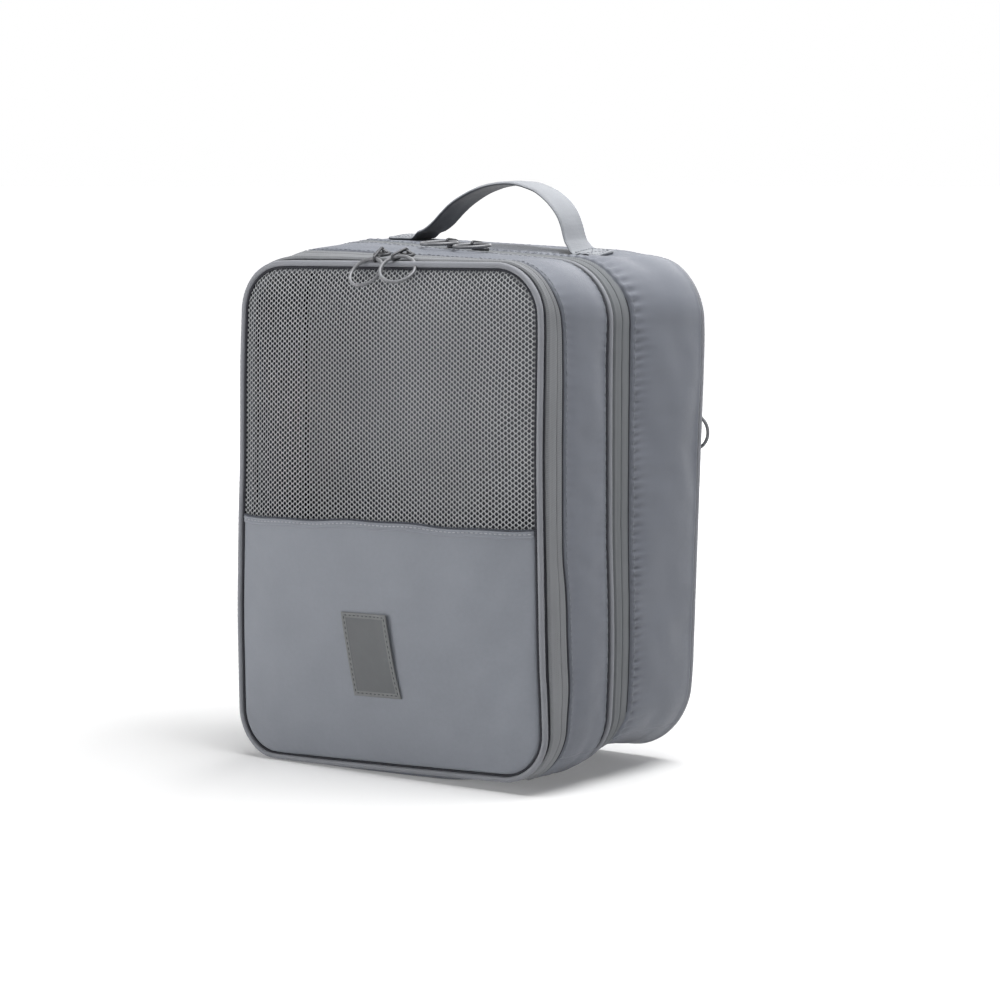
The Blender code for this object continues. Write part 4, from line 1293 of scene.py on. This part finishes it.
def slider_piece(name, body_name, foot, ex, ey, ez, tall=3.7):
    """A slider seen from outside: a waisted plate with a rounded rim, a nose and the bridge that holds the pull."""
    foot, ex, ey, ez = (np.asarray(v_, float) for v_ in (foot, ex, ey, ez))
    bm = bmesh.new()
    outline = []
    for k in range(48):
        g = 2 * math.pi * k / 48
        cx, cy = math.cos(g), math.sin(g)
        sx = 5.1 * math.copysign(abs(cx) ** 0.55, cx)
        sy = 3.7 * math.copysign(abs(cy) ** 0.6, cy) * (1 - 0.16 * math.exp(-((sx + 0.5) / 1.9) ** 2)) * (1.0 if sx < 2 else 1 - 0.06 * (sx - 2))
        outline.append((sx, sy))
    rings = []
    for h, s in ((-0.6, 0.94), (0.1, 1.0), (0.8, 1.0), (1.2, 0.96), (1.4, 0.88), (1.5, 0.5), (1.55, 0.15)):
        rings.append([bm.verts.new(foot + ex * (x * s) + ey * (y * s) + ez * h) for x, y in outline])
    for a_, b_ in zip(rings[:-1], rings[1:]):
        for k in range(48):
            bm.faces.new((a_[k], a_[(k + 1) % 48], b_[(k + 1) % 48], b_[k]))
    bm.faces.new(list(reversed(rings[0])))
    bm.faces.new(rings[-1])

    def bar(path, rx, ry, n=12):
        path = [np.array(p_, float) for p_ in path]
        old = None
        for k, p_ in enumerate(path):
            d = path[min(k + 1, len(path) - 1)] - path[max(k - 1, 0)]
            d /= np.linalg.norm(d)
            s_ = np.cross(d, [0, 1, 0])
            s_ /= np.linalg.norm(s_)
            loop = [bm.verts.new(foot + sum(e * w_ for e, w_ in zip((ex, ey, ez), p_ + s_ * (math.cos(2 * math.pi * q_ / n) * rx) + np.array([0, 1, 0]) * (math.sin(2 * math.pi * q_ / n) * ry)))) for q_ in range(n)]
            if old:
                for q_ in range(n):
                    bm.faces.new((old[q_], old[(q_ + 1) % n], loop[(q_ + 1) % n], loop[q_]))
            else:
                bm.faces.new(list(reversed(loop)))
            old = loop
        bm.faces.new(old)

    arch = [(-3.8 + 7.6 * k / 16, 0, 1.0 + (tall - 1.6) * math.sin(math.pi * k / 16) ** 0.55) for k in range(17)]
    bar(arch, 0.55, 1.0)
    bmesh.ops.recalc_face_normals(bm, faces=bm.faces)
    me = bpy.data.meshes.new(name)
    bm.to_mesh(me)
    bm.free()
    me.transform(Matrix.Scale(MM, 4))
    me.materials.append(slider_mat)
    me.polygons.foreach_set("use_smooth", [True] * len(me.polygons))
    o = link(bpy.data.objects.new(name, me))
    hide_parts(body_name)
    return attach(o, body_name)


def cloth_top(x, y, out=0.0):
    """Height of the top of the bag, without the puffing of its cloth, at a point."""
    p = body(y, out)
    m = NZ > 0.05
    o = np.argsort(p[m, 0])
    return float(np.interp(x, p[m, 0][o], p[m, 2][o]))


def top_slider(name, x, y, out):
    z0, z1 = cloth_top(x, y - 2.5, out), cloth_top(x, y + 2.5, out)
    zx = cloth_top(x + 3, y, out) - cloth_top(x - 3, y, out)
    ex = unit([6.0, 0, zx])
    ey = unit([0, 5.0, z1 - z0])
    ez = unit(np.cross(ex, ey))
    foot = np.array([x, y, cloth_top(x, y, out) + 0.25])
    slider_piece(name + "_body", name, foot, ex, ey, ez)
    return foot + ez * 2.5


for side, x, ring_at, dip, swing, yaw in (("left", -13.0, (-12.2, -77.7, 288.9), 46, -6, 0), ("right", 4.0, (8.6, -75.4, 290.9), 43, 24, 20)):
    b_ = top_slider(f"front_slider_{side}", x, ZIP_F, 0.6)
    pull_piece(f"front_pull_{side}", b_, ring_at, dip, swing, "up", yaw)
for side, x, ring_at, dip, swing in (("left", -4.0, (-2.5, -22.6), 3, 6), ("right", 14.0, (20.2, -21.4), 4, 32)):
    b_ = top_slider(f"middle_slider_{side}", x, ZIP_M, 0.6)
    z = max(cloth_top(ring_at[0] + 9 * math.cos(g), ring_at[1] + 9 * math.sin(g), 2.2) for g in np.linspace(0, 6, 9)) + 1.2
    pull_piece(f"middle_pull_{side}", b_, (*ring_at, z), dip, swing)
px_, pz_ = 96.0, POCKET_Z
e_ = 2.0
here = on_back(px_, pz_, 0.3)
ex = unit(on_back(px_ - e_, pz_) - on_back(px_ + e_, pz_))
ey = unit(on_back(px_, pz_ + e_) - on_back(px_, pz_ - e_))
slider_piece("pocket_slider_body", "pocket_slider", here, ex, ey, np.cross(ey, -ex) if np.cross(ey, -ex)[1] > 0 else -np.cross(ey, -ex))
b_ = here + np.array([0, 2.6, 0])
pull_piece("pocket_pull", b_, (here[0] + 5.2, here[1] + 3.4, here[2] - 18.4), 2, 30, "back")

# ---------------------------------------------------------------- stitching
NRM = np.stack([NX, 0 * NX, NZ], -1)


def seam_line(y, out, lift=0.15, pick=WALL):
    return body(y, out(y) + lift)[pick], NRM[pick]


st = stitches("front_gusset_stitching", [seam_line(FRONT_GUSSET[0] + 2.0, front_out), seam_line(FRONT_GUSSET[1] - 2.2, front_out)], thread_mat, 3.4, 2.6, 0.3, 0.16)
front_part(st)
st = stitches("rear_gusset_stitching", [seam_line(REAR_GUSSET[0] + 2.2, rear_out)], thread_mat, 3.4, 2.6, 0.3, 0.16)
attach(st, "rear_compartment")
px_ = np.linspace(-PATCH_W / 2 + 1.75, PATCH_W / 2 - 1.75, 40)
pz_ = np.linspace(-PATCH_H / 2 + 1.75, PATCH_H / 2 - 1.75, 50)
lines = []
for aa, bb in ((px_, 0 * px_ - PATCH_H / 2 + 1.75), (px_, 0 * px_ + PATCH_H / 2 - 1.75), (0 * pz_ - PATCH_W / 2 + 1.75, pz_), (0 * pz_ + PATCH_W / 2 - 1.75, pz_)):
    x, z = patch_point(aa, bb)
    lines.append((on_face(x, z, patch_lift(aa, bb, 1.75) + 0.45), face_normal(x, z)))
st = stitches("patch_stitching", lines, patch_thread_mat, 3.0, 2.0, 0.34, 0.26)
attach(st, "front_lid")
hx2 = np.linspace(-104, 104, 200)
st = stitches("hem_stitching", [(on_face(hx2, hem_z(hx2) - 1.5, 1.1), face_normal(hx2, hem_z(hx2) - 1.5))], hem_thread_mat, 3.0, 2.2, 0.34, 0.26)
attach(st, "front_lid")


def strap_path(*ends):
    """A line of points on the strap's upper side; ends are (x, share of half the width)."""
    out = []
    for (xa, fa), (xb, fb) in zip(ends[:-1], ends[1:]):
        t = np.linspace(0, 1, 30)
        k = np.interp(xa + (xb - xa) * t, strap_line[:, 0], np.arange(len(strap_line)))
        q_ = (fa + (fb - fa) * t + 1) / 2 * 24
        i, j = np.minimum(k.astype(int), len(strap_line) - 2), np.minimum(q_.astype(int), 23)
        a_, b_ = (k - i)[:, None], (q_ - j)[:, None]
        g_ = strap_top
        pts = (g_[i, j] * (1 - a_) + g_[i + 1, j] * a_) * (1 - b_) + (g_[i, j + 1] * (1 - a_) + g_[i + 1, j + 1] * a_) * b_
        out.append((pts + [0, 0, 0.05], np.tile([0.0, 0, 1], (30, 1))))
    return out


sewn_rows = []
for xa, xb in ((-73.0, -59.5), (59.5, 71.0)):
    sewn_rows += strap_path((xa, -0.8), (xb, -0.8), (xb, 0.8), (xa, 0.8), (xa, -0.8)) + strap_path((xa, -0.8), (xb, 0.8)) + strap_path((xa, 0.8), (xb, -0.8))
st = stitches("handle_stitching", sewn_rows, strap_thread_mat, 2.6, 2.0, 0.3, 0.2)
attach(st, "rear_compartment")
ph = np.linspace(-POCKET_HALF - 1, POCKET_HALF + 1, 120)
back_n = np.tile([0.0, 1.0, 0.0], (120, 1))
st = stitches("pocket_stitching", [(on_back(ph, 0 * ph + POCKET_Z + 8.2, 0.75), back_n), (on_back(ph, 0 * ph + POCKET_Z - 8.2, 0.75), back_n)], thread_mat, 3.0, 2.2, 0.35, 0.28)
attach(st, "rear_compartment")


# ---------------------------------------------------------------- stage
def stage_floor():
    """A wide pale floor, lit from within further out so that it runs on evenly to the horizon."""
    radii = [0.0, 0.6, 1.0, 1.6, 2.4, 4.0, 10.0, 40.0]
    verts, faces = [(0, 0, 0)], []
    seg = 48
    for r in radii[1:]:
        for k in range(seg):
            g = 2 * math.pi * k / seg
            verts.append((r * math.cos(g) / MM, r * math.sin(g) / MM, 0))
    for k in range(seg):
        faces.append((0, 1 + k, 1 + (k + 1) % seg))
        for q in range(len(radii) - 2):
            a_, b_ = 1 + q * seg, 1 + (q + 1) * seg
            faces.append((a_ + k, b_ + k, b_ + (k + 1) % seg, a_ + (k + 1) % seg))
    m, nt, b = new_material("studio_floor")
    co = node(nt, "ShaderNodeTexCoord").outputs["Object"]
    n_ = cloud(nt, co, 3.0, 3)
    nt.links.new(ramp(nt, n_, [(0.3, (0.80, 0.80, 0.80)), (0.7, (0.83, 0.83, 0.83))]), b.inputs["Base Color"])
    nt.links.new(span(nt, n_, 0.75, 0.85), b.inputs["Roughness"])
    b.inputs["Specular IOR Level"].default_value = 0.1
    shift = node(nt, "ShaderNodeVectorMath", operation="SUBTRACT")
    shift.inputs[1].default_value = (0.22, 0.06, 0.0)
    nt.links.new(co, shift.inputs[0])
    far = node(nt, "ShaderNodeVectorMath", operation="LENGTH")
    nt.links.new(shift.outputs[0], far.inputs[0])
    b.inputs["Emission Color"].default_value = (1, 1, 1, 1)
    nt.links.new(span(nt, far.outputs["Value"], 0.17, 1.05, 0.45, 1.65), b.inputs["Emission Strength"])
    o = mesh_object("studio_floor", np.array(verts), faces, None, [m])


stage_floor()


def area(name, place, aim, size, power, colour=(1, 1, 1)):
    d = bpy.data.lights.new(name, "AREA")
    d.shape, d.size, d.size_y = "RECTANGLE", size[0], size[1]
    d.energy, d.color = power, colour
    o = link(bpy.data.objects.new(name, d))
    o.location = place
    o.rotation_mode = "QUATERNION"
    o.rotation_quaternion = (Vector(aim) - Vector(place)).to_track_quat("-Z", "Y")
    o.visible_camera = False


area("top", (0.26, 0.06, 1.2), (0, 0, 0.3), (1.0, 1.0), 22.5)
area("left", (-1.2, -1.25, 0.2), (0, 0, 0.1), (0.8, 0.8), 17)
area("back", (-0.5, 2.4, 1.1), (0, 0, 0.15), (1.4, 1.0), 16)
world = bpy.context.scene.world or bpy.data.worlds.new("studio")
bpy.context.scene.world = world
world.use_nodes = True
bg = next(n_ for n_ in world.node_tree.nodes if n_.type == "BACKGROUND")
bg.inputs["Color"].default_value = (1, 1, 1, 1)
bg.inputs["Strength"].default_value = 1.0
world.cycles_visibility.diffuse = False  # the white surround is seen and mirrored, the lamps do the lighting
bpy.context.scene.view_settings.view_transform = "Standard"

# camera: 37 degrees to the right of the front, from 1.85 m
AZ, DIST, CAM_H, FOCAL, CX, CY, PITCH = 36.995, 1.8504, 0.3517, 3173.4, 466.36, 418.21, 4.637
az, pitch = math.radians(AZ), math.radians(PITCH)
back = Vector((math.sin(az) * math.cos(pitch), -math.cos(az) * math.cos(pitch), math.sin(pitch)))
right = (-back).cross(Vector((0, 0, 1))).normalized()
up = right.cross(-back)
aim = (-back) * FOCAL + right * (500 - CX) - up * (500 - CY)
cam_data = bpy.data.cameras.new("camera")
cam_data.sensor_width, cam_data.sensor_fit = 36.0, "HORIZONTAL"
cam_data.lens = 36.0 * aim.length / 1000
cam_data.clip_start, cam_data.clip_end = 0.05, 60
cam = link(bpy.data.objects.new("camera", cam_data))
cam.location = (math.sin(az) * DIST, -math.cos(az) * DIST, CAM_H)
cam.rotation_mode = "QUATERNION"
cam.rotation_quaternion = aim.to_track_quat("-Z", "Y")
bpy.context.scene.camera = cam

bpy.context.view_layer.update()
